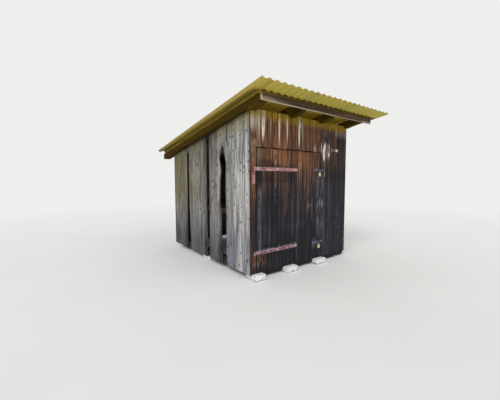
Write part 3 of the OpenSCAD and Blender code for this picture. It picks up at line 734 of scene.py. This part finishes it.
def front_look(x, z, rnd):
    """Wear, brown and orange of the front at a place; rnd is the board's own number."""
    fx, fz = partial(gates, x), partial(gates, z)
    n1 = lump(x / 60, z / 260, 1.3)
    n2 = lump(x / 28, z / 90, 8.1)
    n3 = lump(x / 14, z / 130, 4.4)
    wear = window(PALE, x + 12 * n2, z + 60 * n1 + 30 * n2, 10, 52) * (1 + 0.8 * n2)
    orange = window(BARE, x, z, 16, 60) * (1 + 0.5 * n2)
    for x0, x1, z0, k in STREAKS:
        if x0 - 7 < x < x1 + 7 and z > z0:
            thin = (x1 - x0) * 0.3 * fz(z0 + 420, z0)
            f = fx(x0 + thin - 7, x0 + thin + 4, x1 - thin + 7, x1 - thin - 4)
            wear = max(wear, k * f * fz(z0, z0 + 360) ** 0.7)

    # Stain: more of it towards the top of the door, all of the boards over it
    shift = 130 * (rnd - 0.5) + 90 * n1
    lift = 70 * fx(980, 860) * fz(1620, 1700)
    brown = (0.14 * smooth(700, 1150, z + shift) + 0.22 * smooth(1150, 1500, z + shift - lift)
             + 0.52 * smooth(1480, 1800, z + shift - lift))
    if z > DOOR_TOP:
        brown = 0.95
    if x > FRAME_X1:
        brown = 0.12 * fz(1250, 1500) + 0.32 * smooth(1540, 1800, z + shift)
        wear = max(wear, 0.16 * smooth(0.0, 0.5, n2) * fz(1500, 1100))
    elif x > SEAMS[12]:
        brown *= 0.66 if z < DOOR_TOP else 0.78
    if 1400 < x < 1680 and 330 < z < 1600:
        k = 0.66 - 0.2 * fz(1150, 1350)
        wear = max(wear, k * smooth(-0.35, 0.45, n3 + n1 * 0.4)
                   * fx(1400, 1480, 1680, 1620) * fz(1600, 1420, 330, 800))
        brown = max(brown, 0.34 * fz(1100, 1350) * fx(1420, 1480))
    if x < STRIP_END:
        brown = 0.36 + 0.14 * fz(800, 1150) + 0.42 * fz(1200, 1500)
        wear = max(wear, 0.12 * fz(1600, 1900) * smooth(-0.2, 0.3, n2),
                   0.3 * fz(2150, 2300))
    elif x < 204 and z < DOOR_TOP:
        brown = min(brown, 0.26 + 0.3 * fz(1600, 1700))
    if z < 400 and x < 420:
        brown = max(brown, 0.6 * fz(140, 240) * smooth(-0.2, 0.3, n2 + 0.25)
                    * fx(420, 200))

    # Worn arrises, the teeth that show over the lower strap, and the dots
    for lx, z0, z1, b, k in LINES:
        if abs(x - lx) < 9:
            f = smooth(9, 3, abs(x - lx)) * fz(z0 - 60, z0 + 60, z1 + 60, z1 - 60)
            brown, wear = max(brown, b * f), max(wear, k * f)
    if 110 < x < 965 and 420 < z < 500:
        tooth = abs((x / 45.0) % 1.0 - 0.5)
        top = 450 + 20 * lump(math.floor(x / 45), 3.3, 1.7)
        wear = max(wear, 0.72 * smooth(0.26, 0.12, tooth) * fz(top + 8, top - 8))
    for cx, half, k in DOTS:
        wear = max(wear, k * smooth(half + 9, half - 7, abs(x - cx))
                   * smooth(30, 10, abs(z - DOTS_Z)))

    darkening = 0.0
    if z < DOOR_TOP and STRIP_END < x < FRAME_X1:
        darkening = max(k * fx(*across) * fz(*up) for k, across, up in DOOR_DARKENING)
        over_strap = 1850 - 110 * fx(520, 600)
        darkening = max(darkening, 0.74 * fx(980, 900)
                   * fz(1390, 1470, over_strap, over_strap - 80)
                   * (1 - 0.2 * fx(204, 198)))
    elif x > FRAME_X1:
        darkening = max((0.44 + 0.14 * fx(1800, 1880)) * fz(1350, 1550, 2400, 2250),
                   0.2 * fx(1700, 1800) * fz(700, 500))
    elif x < STRIP_END:
        darkening = max(0.34 * fz(1600, 1350, 1000, 1200),
                   0.56 * fz(1750, 1900, 2250, 2120))
    orange -= darkening * smooth(0.7, 0.2, max(orange, wear))
    return (wear, brown, orange, rnd)


def front_run(m, edges, z0, z1, back, face, seed, cols, rows):
    """Upright boards side by side between the edges, with small gaps. Those that end at the
    rafters reach up between them."""
    rnd = random.Random(seed)
    tall = z1 > LEAF_Z1 + LEAF_GAP
    sides = [(x0 - RAFTER_GAP, x1 + RAFTER_GAP) for _, x0, x1 in RAFTERS]

    def top(u, f, k):
        bay = all(u < a or u > b for a, b in sides)
        return z1 - k + (FRONT_RISE * (1 + 0.06 * wob(f, u, 40)) - 2 if bay and tall else 0)

    for i, (a, b) in enumerate(pairwise(edges)):
        one = rnd.random()
        ga = 0.0 if i == 0 else rnd.uniform(0.9, 2.4)
        gb = 0.0 if i == len(edges) - 2 else rnd.uniform(0.9, 2.4)
        fa, fb = seed + i * 3.1, seed + i * 3.1 + 1.7
        back_by = rnd.uniform(0.0, 2.2)
        end = 0.0 if tall else rnd.uniform(0, 5)
        foot = rnd.uniform(0, 9)
        plank(m, lambda u, v, d: at(u, -d, v),
              uneven(a, ga, fa, 0.7, 300), uneven(b, -gb, fb, 0.7, 300),
              lambda u: z0 + foot + 2.5 + 2.5 * wob(fa, u, 22), lambda u: top(u, fb, end),
              -back, -face - back_by, cols, rows, front_look, one, 2.4, 0.8, seam=0.45,
              steps=[x for pair in sides for x in pair] if tall else ())


for name, node, body, *run in (
        ("front_corner_board", "front_strip", "shed", [0, FRAME_X0],
         BRICK_H, under(BOARD), BOARD, 0, 11, 8, 70),
        ("front_boards_over_door", "over_door_boards", "shed", [FRAME_X0] + SEAMS + [FRAME_X1],
         LEAF_Z1 + LEAF_GAP, under(BOARD), BOARD, 0, 21, 9, 20),
        ("front_boards_right", "front_right_boards", "shed", [FRAME_X1] + RIGHT_SEAMS + [WIDE],
         BRICK_H, under(BOARD), BOARD, 0, 31, 10, 110),
        ("door_leaf_boards", "door_leaf", "door", [LEAF_X0] + SEAMS + [LEAF_X1],
         LEAF_Z0, LEAF_Z1, LEAF_FACE + LEAF_T, LEAF_FACE, 41, 12, 100)):
    m = Mesh()
    front_run(m, *run)
    m.make(name, FRONT, body, "front_boards", node)


# ---- side and back boards
SPLIT_Y, SPLIT_TOP = 780.0, BRICK_H + 2002.0
# Waney edges of the split: mm off SPLIT_Y, share of the way from the foot to its top
FRONT_WANE = [(-126, 0), (-108, 0.45), (-100, 0.65), (-118, 0.83), (-46, 0.95), (0, 1.0)]
BACK_WANE = [(13, 0), (53, 0.3), (38, 0.43), (75, 0.5), (65, 0.7), (35, 0.78), (88, 0.88),
             (30, 0.94), (0, 1.0)]
CRACK_Y = 642.0
RIGHT_EDGES = [25, 190, 372, 521, 716, 884, 1061, 1238, 1334, 1502, 1655, 1871, 2010, 2164,
               2339, 2560, 2690, 2825]


def along(points, v):
    """Where a waney edge is at height v."""
    t = (v - SIDE_LOW) / (SPLIT_TOP - SIDE_LOW)
    if t >= 1:
        return SPLIT_Y
    for (a, s), (b, e) in pairwise(points):
        if s <= t <= e:
            return SPLIT_Y + a + (b - a) * (t - s) / (e - s)
    return SPLIT_Y + points[0][0]


def wane(points, seed, reach):
    return lambda v: along(points, v) + reach * (wob(seed, v, 60) + 0.5 * wob(seed + 5, v, 17))


def crack_edge(side):
    """The narrow crack in the front boards: open at the top, closed below its knot."""
    return lambda v: CRACK_Y + side * (0.4 + (8.0 * smooth(2080, 2110, v)
                                              + 9.0 * gates(v, 2110, 2128, 2150, 2128)))


def flare(base, sign):
    """The straight edge of the back gap that widens towards the foot."""
    half = BRICK_H + FRONT_H / 2
    return lambda v: base + sign * FLARE * max(0.0, min(1.0, (half - v) / (half - SIDE_LOW)))


def side_look(y, z, rnd, split=True):
    """Dark, olive and blue of the side boards. Dark holds painted shade just under the roof and
    beside the back side of the middle gap, and a darker foot that is partly damp and partly
    painted shade; split adds the dark fringes beside the split and the gaps, painted shade on
    the split's back side and along the gaps' edges."""
    fy, fz = partial(gates, y), partial(gates, z)
    n = lump(y / 240, z / 420, 5.5)
    below = under(y) - z
    olive = max(0.8 * smooth(300, 0, below),
                fy(1200, 2500) * (0.55 + 0.45 * n) * fz(500, 1500),
                0.95 * fy(2100, 2500) * smooth(800, 250, below),
                0.34 * smooth(850, 300, below) * fy(760, 1500))
    blue = fz(1050, 350) * (0.75 + 0.6 * n)
    dark = 0.22 * fy(380, 540) + 0.16 * fy(860, 900) + 0.12 * fy(2000, 2300)
    dark += 0.14 * fy(400, 470, 600, 560) * fz(700, 1000, 2000, 1700)
    # Painted shadow beside the back side of the middle gap, stronger at the foot
    dark += 0.18 * fy(1300, 1330, 1480, 1400) * (1 + 0.8 * fz(900, 500))
    dark += 0.17 * smooth(900, 200, below) * fy(2600, 1900)
    # Darker at the foot: partly damp, partly painted shade
    dark += fz(800, 200) * (0.1 + 0.22 * fy(500, 1000))
    dark += 0.14 * smooth(0.1, 0.6, lump(y / 60, z / 500, 9.1))
    # Painted shade just under the roof
    dark += 0.4 * smooth(34, 0, below)
    if y > 2150:
        dark += 0.34 * fy(2360, 2210) * fz(1000, 300)
    if split:
        if y > 700:
            # Painted shade on the split's back side
            dark += 0.6 * fy(930, 850) * fz(1130, 1000)
            dark += 0.55 * fy(895, 850) * fz(1620, 1480, 1000, 1130)
        else:
            dark += 0.24 * fy(530, 600) * fz(700, 900, 1900, 1650)
        widen = FLARE * smooth(sum(MID_GAP) / 2, SIDE_LOW, z) * (y > 2000)
        gap = min(abs(y - sum(g) / 2) - (g[1] - g[0]) / 2 - w
                  for g, w in ((MID_GAP, 0.0), (BACK_GAP, widen)))
        # Painted shade along the edges of both gaps
        dark += 0.8 * gates(gap, 30, 6, -3, 0)
    return (min(1, dark), min(1, max(0, olive)), min(1, max(0, blue)), rnd)


def side_put(u, v, d):
    return at(d, u, v)


def side_run(m, edges, seed, rows=34, x_back=BOARD, x_face=0, out=-1, look=side_look):
    """Side boards between edges, which run from the front to the back."""
    rnd = random.Random(seed)
    for i, (a, b) in enumerate(pairwise(edges)):
        one = rnd.random()
        g = rnd.uniform(0.9, 2.4)
        foot = rnd.uniform(0, 12)
        sa, sb = seed + i * 2.3, seed + i * 2.3 + 1.1
        plank(m, side_put, uneven(b, -g, sb), uneven(a, g, sa),
              lambda u: SIDE_LOW + foot + 3 + 3 * wob(sa, u, 30), under,
              x_back, x_face - out * rnd.uniform(0, 2.5), 6, rows, look, one, 2.6, 1.0, out,
              0.45)


for part, runs in (
        ("front", (([25, 152, 366, 506, crack_edge(-1)], 51),
                   ([crack_edge(1), wane(FRONT_WANE, 3.0, 5.0)], 52, 90))),
        ("narrow", (([wane(BACK_WANE, 4.0, 6.0), 1044], 53, 90), ([1044, MID_GAP[0]], 54))),
        ("middle", (([MID_GAP[1], 1421, 1572, 1790, 1925, flare(BACK_GAP[0], -1)], 55),)),
        ("back", (([flare(BACK_GAP[1], 1), 2300, 2415, 2616, 2825], 56),))):
    m = Mesh()
    for run in runs:
        side_run(m, *run)
    if part == "back":
        # The short board that closes the top of the back gap
        plank(m, side_put, BACK_GAP[1] + 2.0, BACK_GAP[0] - 2.0, lambda u: under(u) - 120,
              under, BOARD, 1.0, 4, 3, side_look, 0.31, 1.8, 0.6, -1, 0.45)
    m.make("left_wall_" + part + "_boards", GREY, "shed", "grey_boards",
           "left_" + part + "_boards")

m = Mesh()
side_run(m, RIGHT_EDGES, 57, 34, WIDE - BOARD, WIDE, 1,
         lambda y, z, r: side_look(y, z, r, False))
m.make("right_wall_boards", GREY, "shed", "grey_boards", "right_boards")


def back_look(x, z, rnd):
    n = lump(x / 240, z / 420, 15.5)
    olive = min(1.0, max(0.0, 0.45 + 0.6 * n + smooth(300, 0, under(DEEP) - z) * 0.6))
    return (0.12 * smooth(0.1, 0.6, n), olive, smooth(900, 300, z) * 0.7, rnd)


m = Mesh()
rnd = random.Random(61)
GROUPS, GROUP_GAP, BACK_CUTS = 3, 12.0, (0, 0.23, 0.45, 0.73, 1)
run = (WIDE - (GROUPS - 1) * GROUP_GAP) / GROUPS
for i in range(GROUPS):
    cuts = [i * (run + GROUP_GAP) + run * c for c in BACK_CUTS]
    for j in range(4):
        s = 60 + i * 4.7 + j
        foot = rnd.uniform(0, 12)
        plank(m, lambda u, v, d: at(u, d, v),
              uneven(cuts[j + 1], -1.2, s), uneven(cuts[j], 1.2, s + 0.5),
              lambda u: SIDE_LOW + foot + 3 + 3 * wob(s, u, 30), under(DEEP),
              DEEP - BOARD, DEEP - rnd.uniform(0, 2.5), 6, 30, back_look,
              rnd.random(), 2.6, 1.0, seam=0.45)
m.make("back_wall_boards", GREY, "shed", "grey_boards", "back_boards")


# ---- roof timbers
def slope_put(u, v, d):
    return at(u, v, under(v) + d)


def beam(m, x0, x1, y0, y1, low, high, seed, look=None):
    """A timber that follows the roof's slope, with its underside low and its top high
    above the rafters' underside."""
    ends = (high, low, 5 if y1 - y0 > x1 - x0 else 4, 26, look,
            random.Random(seed).random(), 2.5, 0.0, -1)
    if y1 - y0 > x1 - x0:
        plank(m, slope_put, uneven(x1, -0.75, seed, 1, 700), uneven(x0, 0.75, seed + 2, 1, 700),
              y0, y1, *ends)
    else:
        plank(m, lambda u, v, d: slope_put(v, u, d), y0, y1, x0, x1, *ends)


def nose_put(u, v, d):
    """The rafters' noses, whose underside drops towards the back."""
    drop = NOSE_DROP * (v - RAFTER_Y0) / (-RAFTER_GAP - RAFTER_Y0)
    return slope_put(u, v, d - (drop if d < 7 else 0))


for name, x0, x1 in RAFTERS:
    m = Mesh()
    # Inner rafters: painted light on their sides inside the house, behind the front wall
    beam(m, x0, x1, RAFTER_Y0, RAFTER_Y1, BED, RAFTER_H, len(name) + x0,
         (lambda u, v, r: (0, smooth(-20, 30, v), 0, r)) if name.startswith("inner") else None)
    plank(m, nose_put, x1 - 1.2, x0 + 1.2, RAFTER_Y0 + 1, -RAFTER_GAP, 8.0, BED, 5, 4,
          lambda u, v, r: (0, 0.3, 0, r), 0.3, 2.0, 0.0, -1)
    m.make(name + "_timber", RAFTER, "shed", "roof_timber", name)

LAST_PURLIN = SHEET_Y1 - 14 - PURLIN_W
PURLIN_Y = [FASCIA_Y + i * (LAST_PURLIN - FASCIA_Y) / 3 for i in range(4)]
ON_RAFTERS = (RAFTER_H + BED, RAFTER_H + PURLIN_H)
m = Mesh()
for y in PURLIN_Y:
    beam(m, ROOF_X0, ROOF_X1, y, y + PURLIN_W, *ON_RAFTERS, y + 500,
         lambda u, v, r: (0.08 + 0.36 * smooth(200, 1500, v), 0, 0, r))
m.make("cross_timbers", PURLIN, "shed", "roof_timber", "purlins")
m = Mesh()
for x in (ROOF_X0 - VERGE_W, ROOF_X1):
    beam(m, x, x + VERGE_W, FASCIA_Y, LAST_PURLIN + PURLIN_W, *ON_RAFTERS, x + 900)
m.make("verge_timbers_along", VERGE, "shed", "roof_timber", "verge_timbers")


def fascia_look(h, x, rnd):
    """Painted sunlight: pale at the left end and along the lower edge, which darkens to the
    right.
    """
    pale = (smooth(760, 0, x) * (0.66 - 0.56 * h / FASCIA_H)
            + 0.55 * smooth(ROOF_X0 + 30, ROOF_X0 + 4, x))
    lower = smooth(15, 7, h) * (1.0 - 0.55 * smooth(900, 2300, x))
    right = 0.55 * smooth(2250, 2450, x) * smooth(60, 10, h)
    return (max(pale, lower, right), smooth(50, 85, h) * smooth(200, 800, x), 0, rnd)


m = Mesh()
plank(m, lambda u, v, d: at(v, FASCIA_Y + FASCIA_T - d, over(RAFTER_Y0) - FASCIA_H + u),
      1.0, uneven(FASCIA_H, -0.5, 2, 1, 500), ROOF_X0, ROOF_X1, 0, FASCIA_T, 14, 120,
      fascia_look, 0.4, 3.0, 0.5)
m.make("fascia_board_front", FASCIA, "shed", "fascia_timber", "front_fascia")


# ---- corrugated sheets
# The CAD's waves are cut flat at crest and valley, by FLAT each
FLAT = WAVE * (1 - math.cos(math.radians(15))) / 2
SLOPE = math.atan(FALL)
COS, SIN = math.cos(SLOPE), math.sin(SLOPE)
SHEET_L = (SHEET_Y1 - SHEET_Y0) / COS
SHEET_W = (SHEET_X1 - SHEET_X0 + 2 * PITCH) / 3
COLUMNS = 140
# Rows of points down the slope: close at the front edge, the fascia and the back wall
ROWS = ([0.0, 4.0, 70.0, 240.0, 261.0, 264.0, 333.0, 336.0, 550.0]
        + [SHEET_L * i / 26 for i in range(5, 22)]
        + [(DEEP + y - SHEET_Y0) / COS for y in (-95, -60, -12, 60, 230)]
        + [SHEET_L - 4.0, SHEET_L])


def wave(x):
    z = WAVE * (1 - math.cos(2 * math.pi * (x - SHEET_X0 + START) / PITCH)) / 2 - FLAT
    return min(WAVE - 2 * FLAT, max(0.0, z))


def on_roof(x, s, h):
    """A point on the sheets: x across, s down the slope, h off the plane, in mm."""
    return (x, SHEET_Y0 + s * COS + h * SIN,
            over(SHEET_Y0) + PURLIN_H + BED - s * SIN + h * COS)


def middle(x):
    """Whether the middle sheet lies there, over the edges of the other two."""
    return SHEET_W - PITCH < x - SHEET_X0 < 2 * SHEET_W - PITCH


def sheet_look(x, s, index, top):
    """Valleys, pale edges, mossy foot, and painted light over the front overhang, stronger
    where an outer sheet lies under the middle one. Its underside has painted shade over the
    house, in the groove beside the left verge timber and over the fascia."""
    # Painted light over the front overhang, stronger on an outer sheet where the middle one
    # laps it
    painted_lighting = smooth(330, 250, s) * (1.4 if middle(x) and index != 1 else 1)
    if not top:
        # Painted shade on the underside: over the house, beside the left verge timber, over the
        # fascia
        y = SHEET_Y0 + s * COS
        painted_lighting -= smooth(500, 1000, y) * gates(x, 0, 70, WIDE, WIDE - 70)
        painted_lighting -= 0.6 * gates(x, -122, -94, -20, -40)
        if 262 < s < 335:
            painted_lighting -= 1.4 * smooth(ROOF_X0 - 50, ROOF_X0 - 20, x)
    edge = smooth(30, 0, s)
    if index == 0:
        edge = max(edge, smooth(75, 35, x - SHEET_X0) * (1.35 - 0.9 * smooth(300, 3400, s)))
    return (1.0 - wave(x) / WAVE, edge, smooth(0.55, 1.0, s / SHEET_L), painted_lighting)


for index, name in enumerate(("roof_sheet_left", "roof_sheet_middle", "roof_sheet_right")):
    lift = THICK + 0.2 if index == 1 else 0.0
    x0 = SHEET_X0 + index * (SHEET_W - PITCH)
    places = [(x0 + SHEET_W * i / COLUMNS, s, top) for top in (0, 1) for s in ROWS
              for i in range(COLUMNS + 1)]
    m = Mesh()
    n, k, last = COLUMNS + 1, (COLUMNS + 1) * len(ROWS), len(ROWS) - 1
    faces, rim = [], []
    for a in [i * n + j for i in range(last) for j in range(COLUMNS)]:
        faces += [(a, a + n, a + n + 1, a + 1), (k + a, k + a + 1, k + a + n + 1, k + a + n)]
    for j in range(COLUMNS):
        b = last * n + j
        rim += [(j, j + 1, k + j + 1, k + j), (b + 1, b, k + b, k + b + 1)]
    for a in range(0, last * n, n):
        b = a + COLUMNS
        rim += [(a + n, a, k + a, k + a + n), (b, b + n, k + b + n, k + b)]
    m.add([at(*on_roof(x, s, lift + wave(x) + top * THICK)) for x, s, top in places], faces,
          [sheet_look(x, s, index, top) for x, s, top in places], True)
    m.f += rim
    m.soft += [False] * len(rim)
    m.make(name + "_wavy", SHEET, "shed", "roof_sheet", name)

m = Mesh()
for y in PURLIN_Y:
    s = (y + PURLIN_W / 2 - SHEET_Y0) / COS
    for i in range(2, 25, 3):
        x = SHEET_X0 + PITCH * (i + 0.5) - START
        if SHEET_X0 + 60 < x < SHEET_X1 - 60:
            h = wave(x) + THICK + (THICK if middle(x) else 0)
            dome(m, on_roof(x, s, h - 0.6), (0, SIN, COS), 11, 1.8, 2, 14)
            dome(m, on_roof(x, s, h + 0.8), (0, SIN, COS), 5, 2.2, 2, 10)
m.make("roof_nails", NAIL, "shed", "hasp_iron")


# ---- bricks
def pads(name, places, node):
    """Two bricks in each pad, side by side along its longer side."""
    m = Mesh()
    for i, (x, y, w, d) in enumerate(places):
        a = int(d > w)
        half = (w, d)[a] / 2
        for j in (0, 1):
            lo, hi = [x, y, 0], [x + w, y + d, BRICK_H]
            hi[a] = lo[a] + half - 2 + j * (half + 2)
            lo[a] += j * (half + 2)
            rounded(m, lo, hi, 3.5, (12, 8, 6), (0, 0, 0, (i * 2 + j) * 0.37 % 1), 0.8,
                    i * 1.3 + j)
    m.make(name, BRICK, "shed", "brick", node)


# The corner brick is a cut one; four pads lie evenly under the back
CUT = BRICK_L * 0.78
PAD_STEP = BRICK_L + (WIDE - 2 * BOARD - 4 * BRICK_L) / 3
SIDE_PAD_Y = DEEP / 2 - BRICK_L / 2
pads("front_bricks",
     [(35, PAD_Y, CUT, PAD_D), (667, PAD_Y, BRICK_L, PAD_D), (1388, PAD_Y, BRICK_L, PAD_D),
      (WIDE - BOARD - BRICK_L, 2 * BOARD, BRICK_L, PAD_D)], "front_pads")
pads("rear_bricks",
     [(BOARD + i * PAD_STEP, DEEP - BOARD - PAD_D, BRICK_L, PAD_D) for i in range(4)]
     + [(x, SIDE_PAD_Y, PAD_D, BRICK_L) for x in (BOARD, WIDE - BOARD - PAD_D)], "rear_pads")


# ---- hinges
OUT = (0, -1, 0)
EYE_R, EYE_HOLE, EYE_SEG = 12, 8.3, 40
for side, z, paint in (("upper", UPPER_STRAP, STRAP), ("lower", LOWER_STRAP, LOW_STRAP)):
    m = Mesh()
    plank(m, lambda u, v, d: at(v, -d, u),
          lambda v: z - STRAP_HALF + 5 * smooth(880, STRAP_END, v),
          lambda v: z + STRAP_HALF - 5 * smooth(880, STRAP_END, v), PIN_X + 9, STRAP_END,
          5.0, 10.0, 6, 60,
          lambda u, v, r: (0.7 * smooth(16, 22, abs(u - z)) + 0.4 * smooth(850, 950, v),
                           0.5 * smooth(0.1, 0.5, lump(v / 50, u / 20, z)),
                           0, r), 0.5, 1.4)
    ring = [at(PIN_X + r * math.cos(s), PIN_Y + r * math.sin(s), z + dz)
            for s in ring_turns(EYE_SEG)
            for r, dz in ((EYE_R, -STRAP_HALF), (EYE_R, STRAP_HALF),
                          (EYE_HOLE, STRAP_HALF), (EYE_HOLE, -STRAP_HALF))]
    last = len(ring)
    m.add(ring, [(a + i, (a + 4) % last + i, (a + 4) % last + (i + 1) % 4, a + (i + 1) % 4)
                 for a in range(0, last, 4) for i in range(4)], (0.5, 0.4, 0, 0.5))
    m.make(side + "_strap_band", paint, "door", "strap_iron", side + "_strap")


def heads(name, mat, body, slot, zs, xs, y, offs, *form):
    """Bolt or screw heads that face the front, at each of offs from each of zs."""
    m = Mesh()
    for z, x, dz in product(zs, xs, offs):
        dome(m, (x, y, z + dz), OUT, *form)
    m.make(name, mat, body, slot)


STRAPS, HASPS = (UPPER_STRAP, LOWER_STRAP), (UPPER_HASP, LOWER_HASP)
for name, mat, z in (("upper_pintle_bolts", BOLT, UPPER_STRAP),
                     ("lower_pintle_bolts", RUSTY, LOWER_STRAP)):
    heads(name, mat, "shed", "strap_iron", (z,), (PIN_X,), -5.0, (-107, -177), 9, 5, 3, 16, 1.0)
heads("strap_bolts", BOLT, "door", "strap_iron", STRAPS, (128, 320, 520, 720, 932), -10.0, (0,),
      12, 6, 4, 18, 1.5)


# ---- hasps and padlocks
heads("hasp_screws", SCREW, "door", "hasp_iron", HASPS, (1354, 1400, 1446), -9.0, (-13, 13),
      5, 2.5, 3, 12)
heads("keeper_screws", SCREW, "shed", "hasp_iron", HASPS, (1572, 1606), -4.0, (-14, 14),
      5, 2.5, 3, 12)

LOCK_X, LOCK_Y, LOCK_W, LOCK_H, LOCK_T = 1509.0, -17.0, 50, 62, 20
BAR_R, BAR_X, BAR_STEPS = 4.5, 16, 16
for side, z in (("upper", UPPER_HASP), ("lower", LOWER_HASP)):
    # The lock's top, and the middle of the shackle's bend, which hangs in the staple
    top, bend = z - 47, z - 6.2 - (BAR_X - BAR_R)
    m = Mesh()
    rounded(m, (LOCK_X - LOCK_W / 2, LOCK_Y - LOCK_T / 2, top - LOCK_H),
            (LOCK_X + LOCK_W / 2, LOCK_Y + LOCK_T / 2, top), 4.5, (10, 6, 12), (0, 0, 0, 0.4),
            0.2, z)
    dome(m, (LOCK_X, LOCK_Y, top - LOCK_H), (0, 0, -1), 6, 1.0, 2, 16)
    for x in (LOCK_X - BAR_X, LOCK_X + BAR_X):
        dome(m, (x, LOCK_Y, top - 0.5), (0, 0, 1), 7, 1.2, 2, 16)
    m.make(side + "_lock_body", BRASS, "door", "lock_brass", side + "_padlock")
    turns = [math.pi * i / BAR_STEPS for i in range(BAR_STEPS + 1)]
    m = Mesh()
    tube(m, [(LOCK_X - BAR_X, LOCK_Y, top - 1)]
         + [(LOCK_X - BAR_X * math.cos(a), LOCK_Y, bend + BAR_X * math.sin(a)) for a in turns]
         + [(LOCK_X + BAR_X, LOCK_Y, top - 1)], BAR_R, 16)
    m.make(side + "_lock_shackle", SHACKLE, "door", "hasp_iron", side + "_padlock")


# ---- nails in the boards
def nail(m, place, loose, axis):
    """A nail head at a place, moved by up to loose mm each way."""
    spot = [c + rnd.uniform(-by, by) if by else c for c, by in zip(place, loose)]
    dome(m, spot, axis, 3.6, 1.2, 2, 8)


rnd = random.Random(71)
# Heights of the rows of nails; the top row of the sides and the back follows the roof
FRONT_NAILS, SIDE_NAILS, UNDER_ROOF = [2420, 1010, 140], (138, 975), 45
m = Mesh()
edges = [0] + SEAMS + [FRAME_X1] + RIGHT_SEAMS + [WIDE]
for a, b in pairwise(edges):
    over_door = 0 < a < FRAME_X1
    for z in FRONT_NAILS[:1 if over_door else 3]:
        for x in (a + 20, b - 20):
            nail(m, (x, 0.6, z), (5, 0, 8), OUT)
for y in (45, 130, 180, 340, 392, 480, 535, 610, 880, 1010, 1070, 1210, 1350, 1400, 1450, 1550,
          1600, 1760, 1815, 1900, 1950, 2040, 2240, 2275, 2325, 2390, 2440, 2590, 2640, 2800):
    for z in SIDE_NAILS + (under(y) - UNDER_ROOF,):
        nail(m, (1.2, y, z), (0, 6, 9), (-1, 0, 0))
        nail(m, (WIDE - 1.2, y, z), (0, 6, 9), (1, 0, 0))
for x in range(40, 2368, 97):
    for z in SIDE_NAILS + (under(DEEP) - UNDER_ROOF,):
        nail(m, (x, DEEP - 1.2, z), (6, 0, 9), (0, 1, 0))
m.make("wall_nails", NAIL, "shed", "hasp_iron")
m = Mesh()
edges = [LEAF_X0] + SEAMS + [LEAF_X1]
for a, b in pairwise(edges):
    for z in (UPPER_STRAP + 44, UPPER_STRAP - 44, LOWER_STRAP + 44, LOWER_STRAP - 44):
        nail(m, ((a + b) / 2, LEAF_FACE + 0.8, z), (18, 0, 5), OUT)
m.make("door_nails", NAIL, "door", "hasp_iron")

# ---- CAD nodes that stay
for mat, width, names in (
        (FRAME_Z, 2.5, ("corner_posts", "door_posts")),
        (SHADOW_SILL, 2.5, ("front_sill",)),
        (FRAME_X, 2.5, ("back_sill", "door_header", "front_rail", "back_rail", "front_plate",
                        "back_plate", "door_ledges", "door_brace")),
        (FRAME_Y, 2.5, ("side_sills", "side_rails", "side_plates")),
        (PINTLE, 0.8, ("upper_pintle",)),
        (RUSTY, 0.8, ("lower_pintle",)),
        (IRON, 0.8, ("upper_hasp", "lower_hasp", "hasp_keepers"))):
    for name in names:
        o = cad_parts[name]
        o.data.materials.clear()
        o.data.materials.append(mat)
        b = o.modifiers.new("eased_edges", "BEVEL")
        b.width = width / 1000
        b.segments = 2
        b.limit_method = "ANGLE"
        b.angle_limit = math.radians(40)

# ---- floor, light, camera
BACKDROP = (0.86, 0.86, 0.85, 1.0)
FLOOR_HALF, CELLS = 40.0, 24
t = Nodes("studio_floor")
p = t.coord()
far = t.step(t.dot(p, p), 30.0, 170.0)
base = t.ramp(t.noise(t.scale(p, 0.6), 2.0), (0.3, 0.7), (0.78, 0.78, 0.77, 1),
              (0.8, 0.8, 0.79, 1))
t.end(t.node("MixShader", t.mul(far, t.seen()), t.surface(base, 0.9, None, 0.5),
             t.node("Emission", BACKDROP)))
me = bpy.data.meshes.new("floor")
n = CELLS + 1
me.from_pydata([(FLOOR_HALF * (i / CELLS - 0.5) * 2, FLOOR_HALF * (j / CELLS - 0.5) * 2, 0.0)
                for j in range(n) for i in range(n)], [],
               [(a, a + 1, a + n + 1, a + n)
                for a in [j * n + i for j in range(CELLS) for i in range(CELLS)]])
me.materials.append(t.mat)
floor = place("floor", me)

t = Nodes("studio", bpy.data.worlds, "OutputWorld")
bpy.context.scene.world = t.end(t.node(
    "MixShader", t.seen(), t.node("Background", (1.0, 1.0, 1.0, 1.0), 0.62),
    t.node("Background", BACKDROP)))

for name, towards, strength, angle in (("key", (0.75, 0.5, -0.8), 1.5, 35),
                                       ("fill", (-0.35, 0.85, -0.45), 0.5, 60)):
    d = bpy.data.lights.new(name, "SUN")
    d.energy = strength
    d.angle = math.radians(angle)
    o = place(name, d)
    o.rotation_mode = "QUATERNION"
    o.rotation_quaternion = Vector(towards).to_track_quat("-Z", "Y")

# The photo's camera: place in metres, angles in degrees, focal length in pixels of 500
CAM_AT, FOCAL = (-3.645, -4.488, 1.487), 270.58
YAW, TILT, ROLL = 36.97, -4.24, 0.12
cam = bpy.data.cameras.new("photo_view")
cam.lens = FOCAL / 500 * 36
cam.sensor_width = 36
cam.clip_start = 0.05
cam.clip_end = 200
eye = place("photo_view", cam)
yaw, pitch = math.radians(YAW), math.radians(TILT)
ahead = Vector((math.sin(yaw) * math.cos(pitch), math.cos(yaw) * math.cos(pitch),
                math.sin(pitch)))
turned = Matrix.Rotation(math.radians(ROLL), 3, ahead)
right = ahead.cross(Vector((0, 0, 1))).normalized()
up = turned @ right.cross(ahead)
right = turned @ right
eye.matrix_world = Matrix(list(zip(right, up, -ahead, CAM_AT)) + [(0, 0, 0, 1)])
bpy.context.scene.camera = eye
bpy.context.scene.view_settings.view_transform = "Standard"
